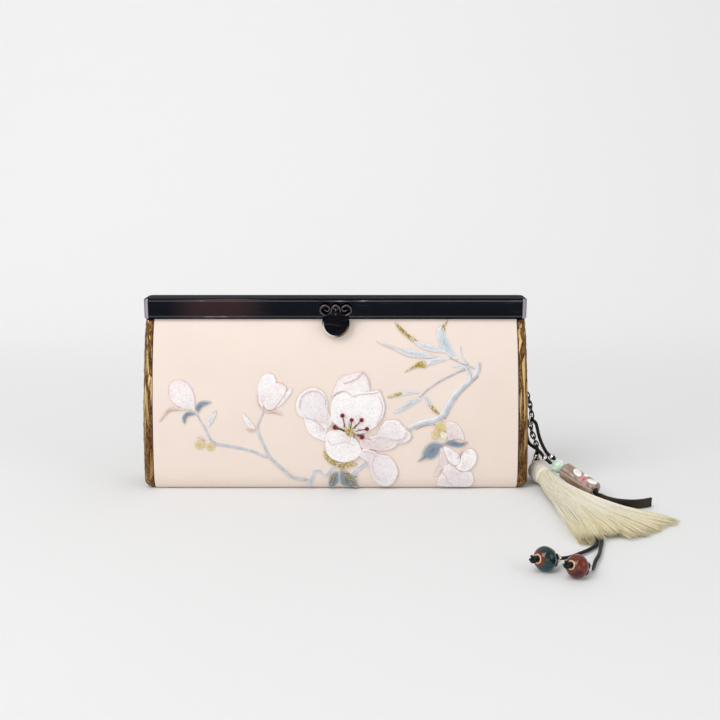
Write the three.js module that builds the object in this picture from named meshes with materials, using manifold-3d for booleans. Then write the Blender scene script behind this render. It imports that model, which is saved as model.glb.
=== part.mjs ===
// An embroidered satin purse with a hinged metal frame, and the charm of beads and tassel on its chain.
// Millimetres, +Z up, -Y the front, +X to the right. The origin is the middle of the base.
import * as THREE from "three";
import { mergeVertices } from "three/addons/utils/BufferGeometryUtils.js";
import Module from "manifold-3d";

const wasm = await Module();
wasm.setup();

// Clearances and cutters
const GAP = 0.3; // between pieces that touch or pass through each other
const OVERRUN = 1; // how far a cutter runs past the face that it cuts
const ROOT = 0.4; // how deep a lug, boss or lock is rooted in what it is joined to

// Purse body: cloth walls, their sizes at the frame, at the belly and at the base
const PURSE = {
  height: 100,
  cloth: 1.5,
  leather: 1.2,
  halfWidthTop: 93,
  halfWidthBase: 95,
  belly: 13.8, // half depth at the fullest height
  bellyHeight: 24,
  baseHalfDepth: 8.5,
  puff: 0.8, // how much fuller the middle of a panel is than its ends
  tuck: 6.5, // how far the cloth runs up into the frame
};

// Metal frame: two channels that meet at a slot
const FRAME = {
  length: 196,
  depth: 16,
  height: 10.5,
  sheet: 1.4,
  cornerRadius: 3,
  edgeRadius: 0.8,
  slot: 0.6,
};

// Rivets at the frame's ends, and the ears that they pass through
const HINGE = {
  pinRadius: 0.8,
  headRadius: 1.7,
  headThickness: 0.5,
  ear: 1.2,
  earRadius: 2.2,
  behind: 1.9, // the rivets' line behind the slot
  above: 2.9, // and above the frame's lower edge
};

// Clasp: an inlaid plate and a press lever in front of it, with a scroll above a round button
const CLASP = {
  centre: 0.3,
  plateWidth: 17.2,
  plateThickness: 0.6,
  pocketDepth: 0.9,
  leverDepth: 1.6,
  standoff: 3, // from the bar's face to the lever's back
  scrollWidth: 16.6,
  scrollHeight: 6.2,
  scrollWire: 1.1,
  buttonRadius: 7,
  buttonDrop: 6.8, // the button's centre below the scroll's
  buttonRim: 0.9,
  pinRadius: 0.4,
  pinWall: 0.5, // metal round the pin's bore
  earSpacing: 3.4,
  earThickness: 0.9,
  earRadius: 1.5,
  fromTop: 5.4, // the scroll's centre below the frame's top
};

// Gusset: how the side leather stands out, by height
const GUSSET = { reachTop: 4.1, reachBase: 5.4, fold: 6.5, roundedFoot: 4, seat: 0.9 };

// Charm
const LUG = { radius: 1.5, wire: 0.4, fromEnd: 4, above: 3.4 }; // from the frame's end and above its lower edge
const RING = { silverRadius: 2.6, silverWire: 0.42, goldRadius: 2.8, goldWire: 0.42 };
const LINK = { width: 3, wire: 0.36, pitch: 2.6, bite: 0.08 };
const CORD = { loopRadius: 0.9, beadRadius: 0.8, sides: 8, leadIn: 2.5 };
const MINT = { radius: 3.7 };
const TUBE = { radius: 4.4, bore: 1.6, edge: 1 };
const PETAL = { halfLength: 3.2, halfWidth: 1.7, height: 0.9, heartRadius: 1.7, heartFlatness: 0.7 };
const CRIMP = { radius: 1.6, bulge: 0.25, length: 2 };
const STRAP = { width: 4.8, thickness: 1.2, core: 1.2 };
const BALL = { tealRadius: 5.25, rustRadius: 4.95, flatness: 0.88, cap: 0.7 };
const SPACER = { radius: 2, length: 2 };
const KNOT = { radius: 1.9, flatness: 0.9 };
const TASSEL = {
  headRadius: 5.75,
  headLength: 17,
  neckRadius: 4.7,
  neckLength: 3.4,
  stub: 1.5, // radius and length of the head's tip
  rooted: 3, // how far the head runs on into the fibres
  eyeRadius: 1.6,
  eyeWire: 0.6,
  fibre: 83,
};
const LOCK = {
  rootHalfWidth: 2.6,
  halfWidth: 6.1,
  rootHalfHeight: 3,
  halfHeight: 0.75, // at the tip
  sides: 6,
};

// Places of the charm's pieces, chosen by hand
const SILVER_RING_AT = [104.1, 3.2, 33.4];
const GOLD_RING_AT = [107.84, 6.91, 9.19];
const TUBE_END_AT = [131.9, -29.4, 4.8];
const TUBE_START_AT = [119, -14.3, 11.1];
const TASSEL_TIP_AT = [107.6, 6, 6.05];
const TASSEL_NECK_AT = [110.2, -11, 6.05];
const TEAL_AT = [90.3, -117.2, 5.35];
const TEAL_AXIS = [-0.82, -0.52, 0.2];
const RUST_AT = [102.2, -124.5, 5.15];
const RUST_AXIS = [-0.75, -0.55, 0.35];

// Routes of the chains and cords, chosen by hand
const FRAME_CHAIN_ROUTE = [
  [94, 9.85, 91.55], [94.4, 11.3, 88.4], [96.4, 12.4, 78], [98.4, 13.4, 66], [99.9, 13.6, 57], [101.1, 12, 50.6],
  [102.4, 8.4, 45.6], [103.4, 5.2, 41], [104.1, 3.2, 36.4],
];
const TASSEL_CHAIN_ROUTE = [
  [103.5, 2.4, 30.55], [104.5, 2.3, 26.4], [106.3, 2.9, 22], [107.9, 4.6, 17.6], [108.3, 6.6, 13.6],
  [107.9, 6.7, 12.4],
];
const LEATHER_LOOP_ROUTE = [
  [114.9, -8.6, 15.3], [113.9, -7, 15.9], [111.9, -3.7, 16.9], [110.2, -1.5, 19.6], [108.8, 0.2, 22.8],
  [107.8, 1.4, 26], [107.1, 2, 29.2], [106.2, 2.5, 32], [104.55, 3.8, 33.1], [102.9, 5.4, 31.8],
  [101.9, 5.4, 28.6], [101.9, 3.4, 24.8], [102.9, 1.2, 21.2], [104.7, -0.2, 19.7], [106.5, -1.4, 18.7],
  [108.4, -3.3, 17.1], [110.4, -5.6, 14.9], [113.1, -8.2, 12.85],
];
const TEAL_CORD_ROUTE = [
  [108.62, 7.97, 9.2], [107.9, 9.3, 9.5], [108.6, 11.2, 9.2], [110, 12.6, 7.6], [112, 13, 4.6], [113.6, 11.6, 2.2],
  [114.2, 7, 1.4], [114, 0, 1.3], [113.8, -10, 1.3], [114.3, -25, 1.3], [115.8, -42, 1.3], [117.6, -60, 1.3],
  [119.4, -76, 1.3], [119.8, -85, 1.3], [117.9, -91.8, 1.3], [114, -97, 1.3], [108.6, -102.4, 1.6],
  [102.8, -108.4, 2.4],
];
const RUST_CORD_ROUTE = [
  [108.85, 7.71, 9.18], [110.3, 6.5, 9], [111.9, 7, 8.4], [113.8, 8.8, 6.4], [115.4, 8.8, 3.8], [116.3, 6, 1.7],
  [116.3, 0, 1.3], [115.9, -14, 1.3], [116.4, -28, 1.3], [118, -45, 1.3], [120, -62, 1.3], [121.6, -76, 1.3],
  [121.6, -87, 1.3], [119.2, -95, 1.3], [116.6, -103, 1.4], [113.2, -111, 1.8],
];
const STRAP_ROUTE = [
  [131.9, -29.4, 3.2], [134, -35.6, 2.8], [138.7, -40.6, 2.7], [146, -42.8, 2.7], [151.5, -42, 2.7],
  [157.3, -39.5, 2.7],
];

// Petals on the tube bead: the share of its length, the turn round it and the heading on it in radians, and the size
const PETALS = [
  { along: 0.57, turn: -0.34, heading: 0.4, size: 1 },
  { along: 0.38, turn: -0.95, heading: 1.6, size: 0.8 },
  { along: 0.14, turn: -0.45, heading: 2.7, size: 0.85 },
];
const HEART = { along: 0.34, turn: -0.05 };

// Tassel locks: turn in degrees from the neck's line, and shares of the fibre's length, of its lift and of its width
const TASSEL_LOCKS = [
  { turn: 8.5, reach: 1, lift: 0, width: 0.78 },
  { turn: 3.5, reach: 0.975, lift: 1, width: 1 },
  { turn: -1.5, reach: 0.91, lift: 1, width: 1 },
  { turn: -7, reach: 0.935, lift: 1, width: 1 },
  { turn: -13.5, reach: 0.975, lift: 0.6, width: 1 },
  { turn: -20.5, reach: 0.955, lift: 0.2, width: 1 },
  { turn: -28, reach: 0.93, lift: 0, width: 0.95 },
  { turn: -35.5, reach: 0.93, lift: 0, width: 0.7 },
];

// Frame, body and charm colours
const FINISH = {
  gunmetal: { color: 0x14151b, roughness: 0.18, metalness: 0.9 },
  satin: { color: 0xf1e2d6, roughness: 0.55, metalness: 0 },
  bronzeLeather: { color: 0x8a6232, roughness: 0.45, metalness: 0.2 },
  chain: { color: 0x3a3733, roughness: 0.35, metalness: 0.9 },
  silver: { color: 0xc9c8c4, roughness: 0.2, metalness: 1 },
  gold: { color: 0xb89a66, roughness: 0.3, metalness: 1 },
  blackLeather: { color: 0x101010, roughness: 0.5, metalness: 0 },
  mint: { color: 0xc9e2cf, roughness: 0.1, metalness: 0 },
  taupe: { color: 0xa59182, roughness: 0.4, metalness: 0 },
  oliveLeather: { color: 0x3d3524, roughness: 0.4, metalness: 0 },
  cream: { color: 0xece4c4, roughness: 0.6, metalness: 0 },
  teal: { color: 0x1e464b, roughness: 0.1, metalness: 0 },
  rust: { color: 0x782814, roughness: 0.1, metalness: 0 },
};

// Sizes that follow
const frameBottom = PURSE.height - FRAME.height;
const frameFront = -FRAME.depth / 2;
const channelHalfDepth = FRAME.depth / 2 - FRAME.sheet - GAP;
const clothTop = frameBottom + PURSE.tuck;
const vec = (p) => new THREE.Vector3(...p);

const charm = new THREE.Group();
const purse = new THREE.Group();

// Solids
function solid(geometry) {
  const bare = geometry.index ? geometry.toNonIndexed() : geometry.clone();
  bare.deleteAttribute("normal");
  bare.deleteAttribute("uv");
  const merged = mergeVertices(bare, 1e-4);
  const made = new wasm.Mesh({
    numProp: 3,
    vertProperties: new Float32Array(merged.attributes.position.array),
    triVerts: new Uint32Array(merged.index.array),
  });
  return new wasm.Manifold(made);
}

function geometryOf(body) {
  const mesh = body.getMesh();
  const positions = new Float32Array(mesh.numVert * 3);
  for (let i = 0; i < mesh.numVert; i++) {
    positions.set(mesh.vertProperties.subarray(i * mesh.numProp, i * mesh.numProp + 3), i * 3);
  }
  const geometry = new THREE.BufferGeometry();
  geometry.setAttribute("position", new THREE.BufferAttribute(positions, 3));
  geometry.setIndex(new THREE.BufferAttribute(new Uint32Array(mesh.triVerts), 1));
  geometry.computeVertexNormals();
  return geometry;
}

const join = (...bodies) => bodies.reduce((whole, body) => whole.add(body));
const cut = (body, ...tools) => tools.reduce((left, tool) => left.subtract(tool), body);

function place(group, name, body, finish) {
  const mesh = new THREE.Mesh(geometryOf(body), new THREE.MeshStandardMaterial(finish));
  mesh.name = name;
  group.add(mesh);
}

// A block between two corners
function block(low, high) {
  const size = high.map((h, i) => h - low[i]);
  const middle = high.map((h, i) => (h + low[i]) / 2);
  return solid(new THREE.BoxGeometry(...size).translate(...middle));
}

// A turned body: [radius, height] pairs carried round an axis that starts at a point
function turned(profile, start, direction, sides = 12) {
  const geometry = new THREE.LatheGeometry(profile.map(([r, h]) => new THREE.Vector2(r, h)), sides);
  const turn = new THREE.Quaternion().setFromUnitVectors(new THREE.Vector3(0, 1, 0), vec(direction).normalize());
  geometry.applyQuaternion(turn);
  geometry.translate(...start);
  return solid(geometry);
}

// A straight round bar or cutter between two points
function bar(radius, from, to, sides = 12) {
  const run = vec(to).sub(vec(from));
  const length = run.length();
  return turned([[0, 0], [radius, 0], [radius, length], [0, length]], from, run.toArray(), sides);
}

// A ball, squeezed along its axis by a share
function ball(radius, centre, direction, share = 1, sides = 14) {
  const profile = [];
  const rows = sides / 2;
  for (let i = 0; i <= rows; i++) {
    const angle = (i / rows - 0.5) * Math.PI;
    profile.push([i % rows === 0 ? 0 : radius * Math.cos(angle), share * radius * Math.sin(angle)]);
  }
  return turned(profile, centre, direction, sides);
}

// A ring whose axis and stretch are given
function ring(radius, wire, centre, axis, sides = 14, wireSides = 6) {
  const geometry = new THREE.TorusGeometry(radius, wire, wireSides, sides);
  const turn = new THREE.Quaternion().setFromUnitVectors(new THREE.Vector3(0, 0, 1), vec(axis).normalize());
  geometry.applyQuaternion(turn);
  geometry.translate(...centre);
  return solid(geometry);
}

function circle(radius, sides) {
  const shape = new THREE.Shape();
  for (let i = 0; i < sides; i++) {
    const angle = (i / sides) * 2 * Math.PI;
    shape[i ? "lineTo" : "moveTo"](radius * Math.cos(angle), radius * Math.sin(angle));
  }
  return shape;
}

// A round cord along its route
function cord(route, radius, stepLength) {
  const path = new THREE.CatmullRomCurve3(route.map(vec), false, "centripetal");
  const steps = Math.min(80, Math.round(path.getLength() / stepLength));
  const shape = circle(radius, CORD.sides);
  return solid(new THREE.ExtrudeGeometry(shape, { steps, bevelEnabled: false, extrudePath: path }));
}

// A wall from a grid of outer points: each row has as many points, and the wall goes against the normal
function wall(rows, thickness) {
  const down = rows.length;
  const across = rows[0].length;
  const at = (i, j) => rows[Math.min(Math.max(i, 0), down - 1)][Math.min(Math.max(j, 0), across - 1)];
  const inner = rows.map((row, i) =>
    row.map((point, j) => {
      const along = at(i + 1, j).clone().sub(at(i - 1, j));
      const over = at(i, j + 1).clone().sub(at(i, j - 1));
      return point.clone().addScaledVector(along.cross(over).normalize(), -thickness);
    }),
  );
  const positions = [];
  const face = (a, b, c, d) => [a, b, c, a, c, d].forEach((p) => positions.push(p.x, p.y, p.z));
  for (let i = 0; i < down - 1; i++) {
    for (let j = 0; j < across - 1; j++) {
      face(rows[i][j], rows[i + 1][j], rows[i + 1][j + 1], rows[i][j + 1]);
      face(inner[i][j], inner[i][j + 1], inner[i + 1][j + 1], inner[i + 1][j]);
    }
    const last = across - 1;
    face(rows[i][0], inner[i][0], inner[i + 1][0], rows[i + 1][0]);
    face(rows[i][last], rows[i + 1][last], inner[i + 1][last], inner[i][last]);
  }
  for (let j = 0; j < across - 1; j++) {
    const last = down - 1;
    face(rows[0][j], rows[0][j + 1], inner[0][j + 1], inner[0][j]);
    face(rows[last][j], inner[last][j], inner[last][j + 1], rows[last][j + 1]);
  }
  const geometry = new THREE.BufferGeometry();
  geometry.setAttribute("position", new THREE.Float32BufferAttribute(positions, 3));
  return solid(geometry);
}

// A closed body through rings of points, with a flat cap at each end
function loft(rings) {
  const positions = [];
  const face = (a, b, c) => [a, b, c].forEach((p) => positions.push(p.x, p.y, p.z));
  const sides = rings[0].length;
  const middles = rings.map((points) => {
    const sum = points.reduce((total, p) => total.add(p), new THREE.Vector3());
    return sum.divideScalar(sides);
  });
  for (let k = 0; k < sides; k++) {
    const next = (k + 1) % sides;
    for (let i = 0; i < rings.length - 1; i++) {
      face(rings[i][k], rings[i][next], rings[i + 1][next]);
      face(rings[i][k], rings[i + 1][next], rings[i + 1][k]);
    }
    face(middles[0], rings[0][next], rings[0][k]);
    face(middles.at(-1), rings.at(-1)[k], rings.at(-1)[next]);
  }
  const geometry = new THREE.BufferGeometry();
  geometry.setAttribute("position", new THREE.Float32BufferAttribute(positions, 3));
  return solid(geometry);
}

// Frame
function roundedPlate(width, depth, radius, low, high, bevel = 0) {
  const [w, d] = [width / 2, depth / 2];
  const shape = new THREE.Shape();
  shape.moveTo(w, -d + radius);
  shape.absarc(w - radius, d - radius, radius, 0, Math.PI / 2);
  shape.absarc(-w + radius, d - radius, radius, Math.PI / 2, Math.PI);
  shape.absarc(-w + radius, -d + radius, radius, Math.PI, 1.5 * Math.PI);
  shape.absarc(w - radius, -d + radius, radius, 1.5 * Math.PI, 2 * Math.PI);
  const options = {
    depth: high - low - 2 * bevel,
    bevelEnabled: bevel > 0,
    bevelSize: bevel,
    bevelThickness: bevel,
    bevelOffset: -bevel,
    bevelSegments: 2,
    curveSegments: 4,
  };
  return solid(new THREE.ExtrudeGeometry(shape, options).translate(0, 0, low + bevel));
}

const endOuter = FRAME.length / 2;
const endInner = endOuter - FRAME.sheet;
const hingeZ = frameBottom + HINGE.above;
const earOuter = endInner - GAP;
const earInner = earOuter - HINGE.ear;

function frameHalf(side) {
  const { length, depth, sheet, cornerRadius, edgeRadius, slot } = FRAME;
  const outer = roundedPlate(length, depth, cornerRadius, frameBottom, PURSE.height, edgeRadius);
  const cavity = roundedPlate(
    length - 2 * sheet, depth - 2 * sheet, cornerRadius - sheet, frameBottom - OVERRUN, PURSE.height - sheet,
  );
  const reach = [side * (slot / 2), side * (depth / 2 + OVERRUN)].sort((a, b) => a - b);
  const keep = block(
    [-endOuter - OVERRUN, reach[0], frameBottom - OVERRUN],
    [endOuter + OVERRUN, reach[1], PURSE.height + OVERRUN],
  );
  return cut(outer, cavity).intersect(keep);
}

function hingeBore(end) {
  const from = [end * (earInner - OVERRUN), HINGE.behind, hingeZ];
  return bar(HINGE.pinRadius + GAP, from, [end * (endOuter + OVERRUN), HINGE.behind, hingeZ]);
}

// The front half carries an ear behind each end of the back half, and the rivet joins the two
function frameFrontHalf() {
  let half = frameHalf(-1);
  for (const end of [-1, 1]) {
    const xs = (inner, outer) => [end * inner, end * outer].sort((a, b) => a - b);
    const earX = xs(earInner, earOuter);
    const rootX = xs(earInner, endInner + ROOT);
    const low = hingeZ - HINGE.earRadius;
    const high = hingeZ + HINGE.earRadius;
    const rootFront = -channelHalfDepth + PURSE.cloth + 2 * GAP;
    const root = block([rootX[0], rootFront, low], [rootX[1], -FRAME.slot / 2 - GAP, high]);
    const ear = block([earX[0], rootFront, low], [earX[1], HINGE.behind + HINGE.earRadius, high]);
    half = cut(join(half, root, ear), hingeBore(end));
  }
  const pocket = block(
    [CLASP.centre - CLASP.plateWidth / 2 - GAP, frameFront - OVERRUN, frameBottom - OVERRUN],
    [CLASP.centre + CLASP.plateWidth / 2 + GAP, frameFront + CLASP.pocketDepth, PURSE.height - FRAME.edgeRadius],
  );
  return cut(half, pocket);
}

// The back half has a small lug behind its right end, which the chain hangs on
const lugCentre = [endOuter - LUG.fromEnd, FRAME.depth / 2 + LUG.wire, frameBottom + LUG.above];

function frameBackHalf() {
  const lug = ring(LUG.radius, LUG.wire, lugCentre, [1, 0, 0]);
  const inside = block(
    [lugCentre[0] - LUG.radius, 0, frameBottom - OVERRUN],
    [lugCentre[0] + LUG.radius, FRAME.depth / 2 - FRAME.sheet, PURSE.height - FRAME.sheet],
  );
  return cut(join(frameHalf(1), cut(lug, inside)), hingeBore(-1), hingeBore(1));
}

function hingePin(end) {
  const { pinRadius, headRadius, headThickness } = HINGE;
  const inner = earInner - GAP - headThickness;
  const outer = endOuter + GAP + headThickness;
  const length = outer - inner;
  const profile = [
    [0, 0], [headRadius, 0], [headRadius, headThickness], [pinRadius, headThickness],
    [pinRadius, length - headThickness], [headRadius, length - headThickness], [headRadius * 0.7, length],
    [0, length],
  ];
  return turned(profile, [end * inner, HINGE.behind, hingeZ], [end, 0, 0]);
}

place(purse, "frame_front", frameFrontHalf(), FINISH.gunmetal);
place(purse, "frame_back", frameBackHalf(), FINISH.gunmetal);
place(purse, "hinge_pin_left", hingePin(-1), FINISH.gunmetal);
place(purse, "hinge_pin_right", hingePin(1), FINISH.gunmetal);

// Clasp
const plateFront = frameFront + CLASP.pocketDepth - GAP - CLASP.plateThickness;
const leverBack = frameFront - CLASP.standoff;
const scrollZ = PURSE.height - CLASP.fromTop;
const pressAxis = [CLASP.centre, (leverBack + plateFront) / 2, scrollZ];

// A bar on the axis that the lever turns on, to a distance on both sides of the middle
function pressBar(radius, reach, sides = 12) {
  const end = (side) => [pressAxis[0] + side * reach, pressAxis[1], pressAxis[2]];
  return bar(radius, end(-1), end(1), sides);
}

function claspPlate() {
  const { centre, plateWidth, plateThickness, earSpacing, earThickness, earRadius, pinRadius } = CLASP;
  let plate = block(
    [centre - plateWidth / 2, plateFront, frameBottom + GAP],
    [centre + plateWidth / 2, plateFront + plateThickness, PURSE.height - FRAME.edgeRadius - GAP],
  );
  for (const side of [-1, 1]) {
    const middle = centre + side * earSpacing;
    const ear = block(
      [middle - earThickness / 2, leverBack + GAP, scrollZ - earRadius],
      [middle + earThickness / 2, plateFront + ROOT, scrollZ + earRadius],
    );
    plate = join(plate, ear);
  }
  return cut(plate, pressBar(pinRadius + GAP, earSpacing + earThickness + OVERRUN));
}

// Section of a scroll's bar, as shares of half its depth and of half its width
const SCROLL_SECTION = [
  { depth: -1, width: -1 },
  { depth: 0.3, width: -1 },
  { depth: 1, width: -0.35 },
  { depth: 1, width: 0.35 },
  { depth: 0.3, width: 1 },
  { depth: -1, width: 1 },
];

// Lines of the ornament, as shares of half its width and of half its height: the volute is mirrored for the left side
const VOLUTE = [
  [0.3, -0.9], [0.62, -1], [0.95, -0.45], [1, 0.35], [0.74, 1], [0.42, 0.55], [0.5, -0.15], [0.72, 0.05],
];
const ARCH = [[-0.3, -0.9], [-0.27, 0.4], [0, 1], [0.27, 0.4], [0.3, -0.9]];

// A flat bar bent along a plane curve, which stands on the lever's back plane with its face to the front
function bentBar(points) {
  const [w, d] = [CLASP.scrollWire / 2, CLASP.leverDepth / 2];
  const at = ([x, z]) => new THREE.Vector3(CLASP.centre + x, leverBack - d, scrollZ + z);
  const path = new THREE.CatmullRomCurve3(points.map(at), false, "centripetal");
  const steps = 2 * (points.length - 1);
  const outline = SCROLL_SECTION.map(({ depth, width }) => new THREE.Vector2(depth * d, width * w));
  const forward = new THREE.Vector3(0, -1, 0);
  const rings = [];
  for (let i = 0; i <= steps; i++) {
    const point = path.getPointAt(i / steps);
    const across = path.getTangentAt(i / steps).cross(forward).normalize();
    rings.push(outline.map((p) => point.clone().addScaledVector(forward, p.x).addScaledVector(across, p.y)));
  }
  return loft(rings);
}

function claspLever() {
  const { centre, scrollWidth, scrollHeight, scrollWire, buttonRadius, buttonRim, buttonDrop } = CLASP;
  const [w, h] = [(scrollWidth - scrollWire) / 2, (scrollHeight - scrollWire) / 2];
  const drawn = (shares, side) => bentBar(shares.map(([x, z]) => [side * x * w, z * h]));
  const bars = [drawn(VOLUTE, -1), drawn(VOLUTE, 1), drawn(ARCH, 1)];
  const buttonZ = scrollZ - buttonDrop;
  const depth = CLASP.leverDepth;
  const profile = [
    [0, 0], [buttonRadius - 0.3, 0], [buttonRadius, 0.35], [buttonRadius, depth * 0.5],
    [buttonRadius - buttonRim, depth + 0.2], [buttonRadius - 1.5 * buttonRim, depth], [0, depth],
  ];
  const button = turned(profile, [centre, leverBack, buttonZ], [0, -1, 0], 22);
  const bossRadius = CLASP.pinRadius + GAP + CLASP.pinWall;
  const bossHalf = CLASP.earSpacing - CLASP.earThickness / 2 - GAP;
  const web = block(
    [centre - bossHalf / 2, leverBack - depth * 0.6, scrollZ - h],
    [centre + bossHalf / 2, leverBack + ROOT, scrollZ + bossRadius],
  );
  const bore = pressBar(CLASP.pinRadius + GAP, bossHalf + OVERRUN);
  return cut(join(button, ...bars, web, pressBar(bossRadius, bossHalf, 10)), bore);
}

function claspPin() {
  return pressBar(CLASP.pinRadius, CLASP.earSpacing + CLASP.earThickness / 2 + GAP);
}

place(purse, "clasp_plate", claspPlate(), FINISH.gunmetal);
place(purse, "clasp_lever", claspLever(), FINISH.gunmetal);
place(purse, "clasp_pin", claspPin(), FINISH.gunmetal);

// Satin shell: front, base and back in one piece
// Heights are shares of the frame's lower edge, and depths run from the frame's mouth (0) to the belly (1)
const FRONT_SECTION = [
  { height: 0.965, depth: 0.16 },
  { height: 0.9, depth: 0.38 },
  { height: 0.78, depth: 0.64 },
  { height: 0.62, depth: 0.84 },
  { height: 0.45, depth: 0.96 },
];

function halfWidthAt(z) {
  const share = Math.min(z / frameBottom, 1);
  return THREE.MathUtils.lerp(PURSE.halfWidthBase, PURSE.halfWidthTop, share ** 1.6);
}

function frontProfile() {
  const span = PURSE.belly - channelHalfDepth;
  const points = [[-channelHalfDepth, clothTop], [-channelHalfDepth, frameBottom]];
  FRONT_SECTION.forEach(({ height, depth }) => points.push([-channelHalfDepth - depth * span, height * frameBottom]));
  points.push([-PURSE.belly, PURSE.bellyHeight]);
  const turns = 5;
  const rise = PURSE.bellyHeight / 2;
  for (let k = 1; k <= turns; k++) {
    const angle = (k / turns) * (Math.PI / 2);
    const y = -PURSE.baseHalfDepth - (PURSE.belly - PURSE.baseHalfDepth) * Math.cos(angle);
    points.push([y, rise * (1 - Math.sin(angle)) ** 1.25]);
  }
  return points;
}

const frontHalfProfile = frontProfile();
const baseStops = [-0.4, 0, 0.4].map((share) => [share * PURSE.baseHalfDepth, 0]);
const shellProfile = [...frontHalfProfile, ...baseStops, ...frontHalfProfile.map(([y, z]) => [-y, z]).reverse()];

function satinShell() {
  const stations = [1, 0.96, 0.75, 0.3, -0.3, -0.75, -0.96, -1];
  const rows = stations.map((share) =>
    shellProfile.map(([y, z]) => {
      const loose = z < frameBottom && z > 0 ? Math.sin((Math.PI * z) / frameBottom) : 0;
      const full = 1 + (PURSE.puff / PURSE.belly) * loose * (1 - share ** 4);
      return new THREE.Vector3(share * halfWidthAt(z), y * full, z);
    }),
  );
  return wall(rows, PURSE.cloth);
}

// Half depth of the shell's side edge at a height
function halfDepthAt(z) {
  const rising = frontHalfProfile.filter(([, height]) => height < frameBottom + GAP).reverse();
  const above = rising.findIndex(([, height]) => height >= z);
  if (above < 1) {
    return PURSE.baseHalfDepth;
  }
  const [[y0, z0], [y1, z1]] = [rising[above - 1], rising[above]];
  return -THREE.MathUtils.lerp(y0, y1, (z - z0) / (z1 - z0));
}

// Gusset: shares of the reach and of the half depth along its width, with the fold's depth share
const GUSSET_WIDTH = [
  { reach: 0, depth: 1, fold: 0 },
  { reach: 0.5, depth: 1.02, fold: 0 },
  { reach: 0.88, depth: 0.9, fold: 0 },
  { reach: 1, depth: 0.7, fold: 0 },
  { reach: 0.94, depth: 0.5, fold: 0.14 },
  { reach: 0.9, depth: 0.28, fold: 0.62 },
  { reach: 0.9, depth: 0, fold: 1 },
];

// Gusset heights as shares of the frame's lower edge, above the rounded foot
const GUSSET_HEIGHTS = [1, 0.86, 0.66, 0.46, 0.26];

function gusset(end) {
  const columns = [...GUSSET_WIDTH.map((row) => ({ ...row, side: -1 })),
    ...GUSSET_WIDTH.slice(0, -1).reverse().map((row) => ({ ...row, side: 1 }))];
  const topZ = frameBottom - GAP;
  const reachAt = (z) => THREE.MathUtils.lerp(GUSSET.reachBase, GUSSET.reachTop, (z / frameBottom) ** 2);
  const row = (z, share, foldShare) => {
    const seat = halfDepthAt(z) - GUSSET.seat;
    return columns.map(({ reach, depth, fold, side }) => {
      const out = GAP + share * (reach * reachAt(z) - fold * foldShare * GUSSET.fold);
      return new THREE.Vector3(end * (halfWidthAt(z) + out), side * depth * seat, z);
    });
  };
  const rows = GUSSET_HEIGHTS.map((share) => row(share * topZ, 1, share));
  const turns = 4;
  for (let k = 0; k <= turns; k++) {
    const angle = (k / turns) * (Math.PI / 2);
    rows.push(row(GUSSET.roundedFoot * (1 - Math.sin(angle)), Math.cos(angle) * 0.94 + 0.06, 0.05));
  }
  return wall(end > 0 ? rows : rows.map((points) => [...points].reverse()), PURSE.leather);
}

place(purse, "satin_shell", satinShell(), FINISH.satin);
place(purse, "gusset_left", gusset(-1), FINISH.bronzeLeather);
place(purse, "gusset_right", gusset(1), FINISH.bronzeLeather);

// Charm chains: oval links in turn, fused where they meet
function chain(route, startSide, endSide) {
  const path = new THREE.CatmullRomCurve3(route.map(vec), false, "centripetal");
  const count = Math.max(2, Math.round(path.getLength() / LINK.pitch));
  const pitch = path.getLength() / (count - 1);
  const radius = LINK.width / 2 - LINK.wire;
  const stretch = (pitch - LINK.bite) / (2 * (radius - LINK.wire));
  const rollOf = (side, along) => {
    const base = new THREE.Vector3(0, 1, 0).addScaledVector(along, -along.y).normalize();
    const other = along.clone().cross(base);
    const flat = vec(side).addScaledVector(along, -vec(side).dot(along));
    return Math.atan2(flat.dot(other), flat.dot(base));
  };
  const first = rollOf(startSide, path.getTangentAt(0));
  const last = rollOf(endSide, path.getTangentAt(1));
  let twist = last - first - ((count - 1) * Math.PI) / 2;
  twist -= Math.PI * Math.round(twist / Math.PI);
  const links = [];
  for (let k = 0; k < count; k++) {
    const share = k / (count - 1);
    const along = path.getTangentAt(share);
    const base = new THREE.Vector3(0, 1, 0).addScaledVector(along, -along.y).normalize();
    const roll = first + (k * Math.PI) / 2 + twist * share;
    const side = base.applyAxisAngle(along, roll);
    const geometry = new THREE.TorusGeometry(radius, LINK.wire, 5, 10).scale(stretch, 1, 1);
    const frame = new THREE.Matrix4().makeBasis(along, side, along.clone().cross(side));
    frame.setPosition(path.getPointAt(share));
    links.push(solid(geometry.applyMatrix4(frame)));
  }
  return join(...links);
}

const silverAxis = [0.8, -0.6, 0];
const goldTangent = new THREE.Vector3(0.75, 0.66, 0).normalize();
const goldLean = new THREE.Vector3(0.15, -0.1, 0.98).normalize();
const goldAxis = goldTangent.clone().cross(goldLean).normalize();

place(charm, "frame_chain", chain(FRAME_CHAIN_ROUTE, [1, 0, 0], silverAxis), FINISH.chain);
place(charm, "silver_ring", ring(RING.silverRadius, RING.silverWire, SILVER_RING_AT, silverAxis, 16), FINISH.silver);
place(charm, "tassel_chain", chain(TASSEL_CHAIN_ROUTE, silverAxis, goldAxis.toArray()), FINISH.chain);
place(charm, "gold_ring", ring(RING.goldRadius, RING.goldWire, GOLD_RING_AT, goldAxis.toArray(), 16), FINISH.gold);
place(charm, "leather_loop", cord(LEATHER_LOOP_ROUTE, CORD.loopRadius, 3), FINISH.blackLeather);

// Bead string: crimps, mint bead, tube bead and the strap through them
const stringAxis = vec(TUBE_START_AT).sub(vec(TUBE_END_AT)).normalize();
const alongString = (distance) => vec(TUBE_START_AT).addScaledVector(stringAxis, distance).toArray();
const mintCentre = alongString(GAP + MINT.radius);

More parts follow.
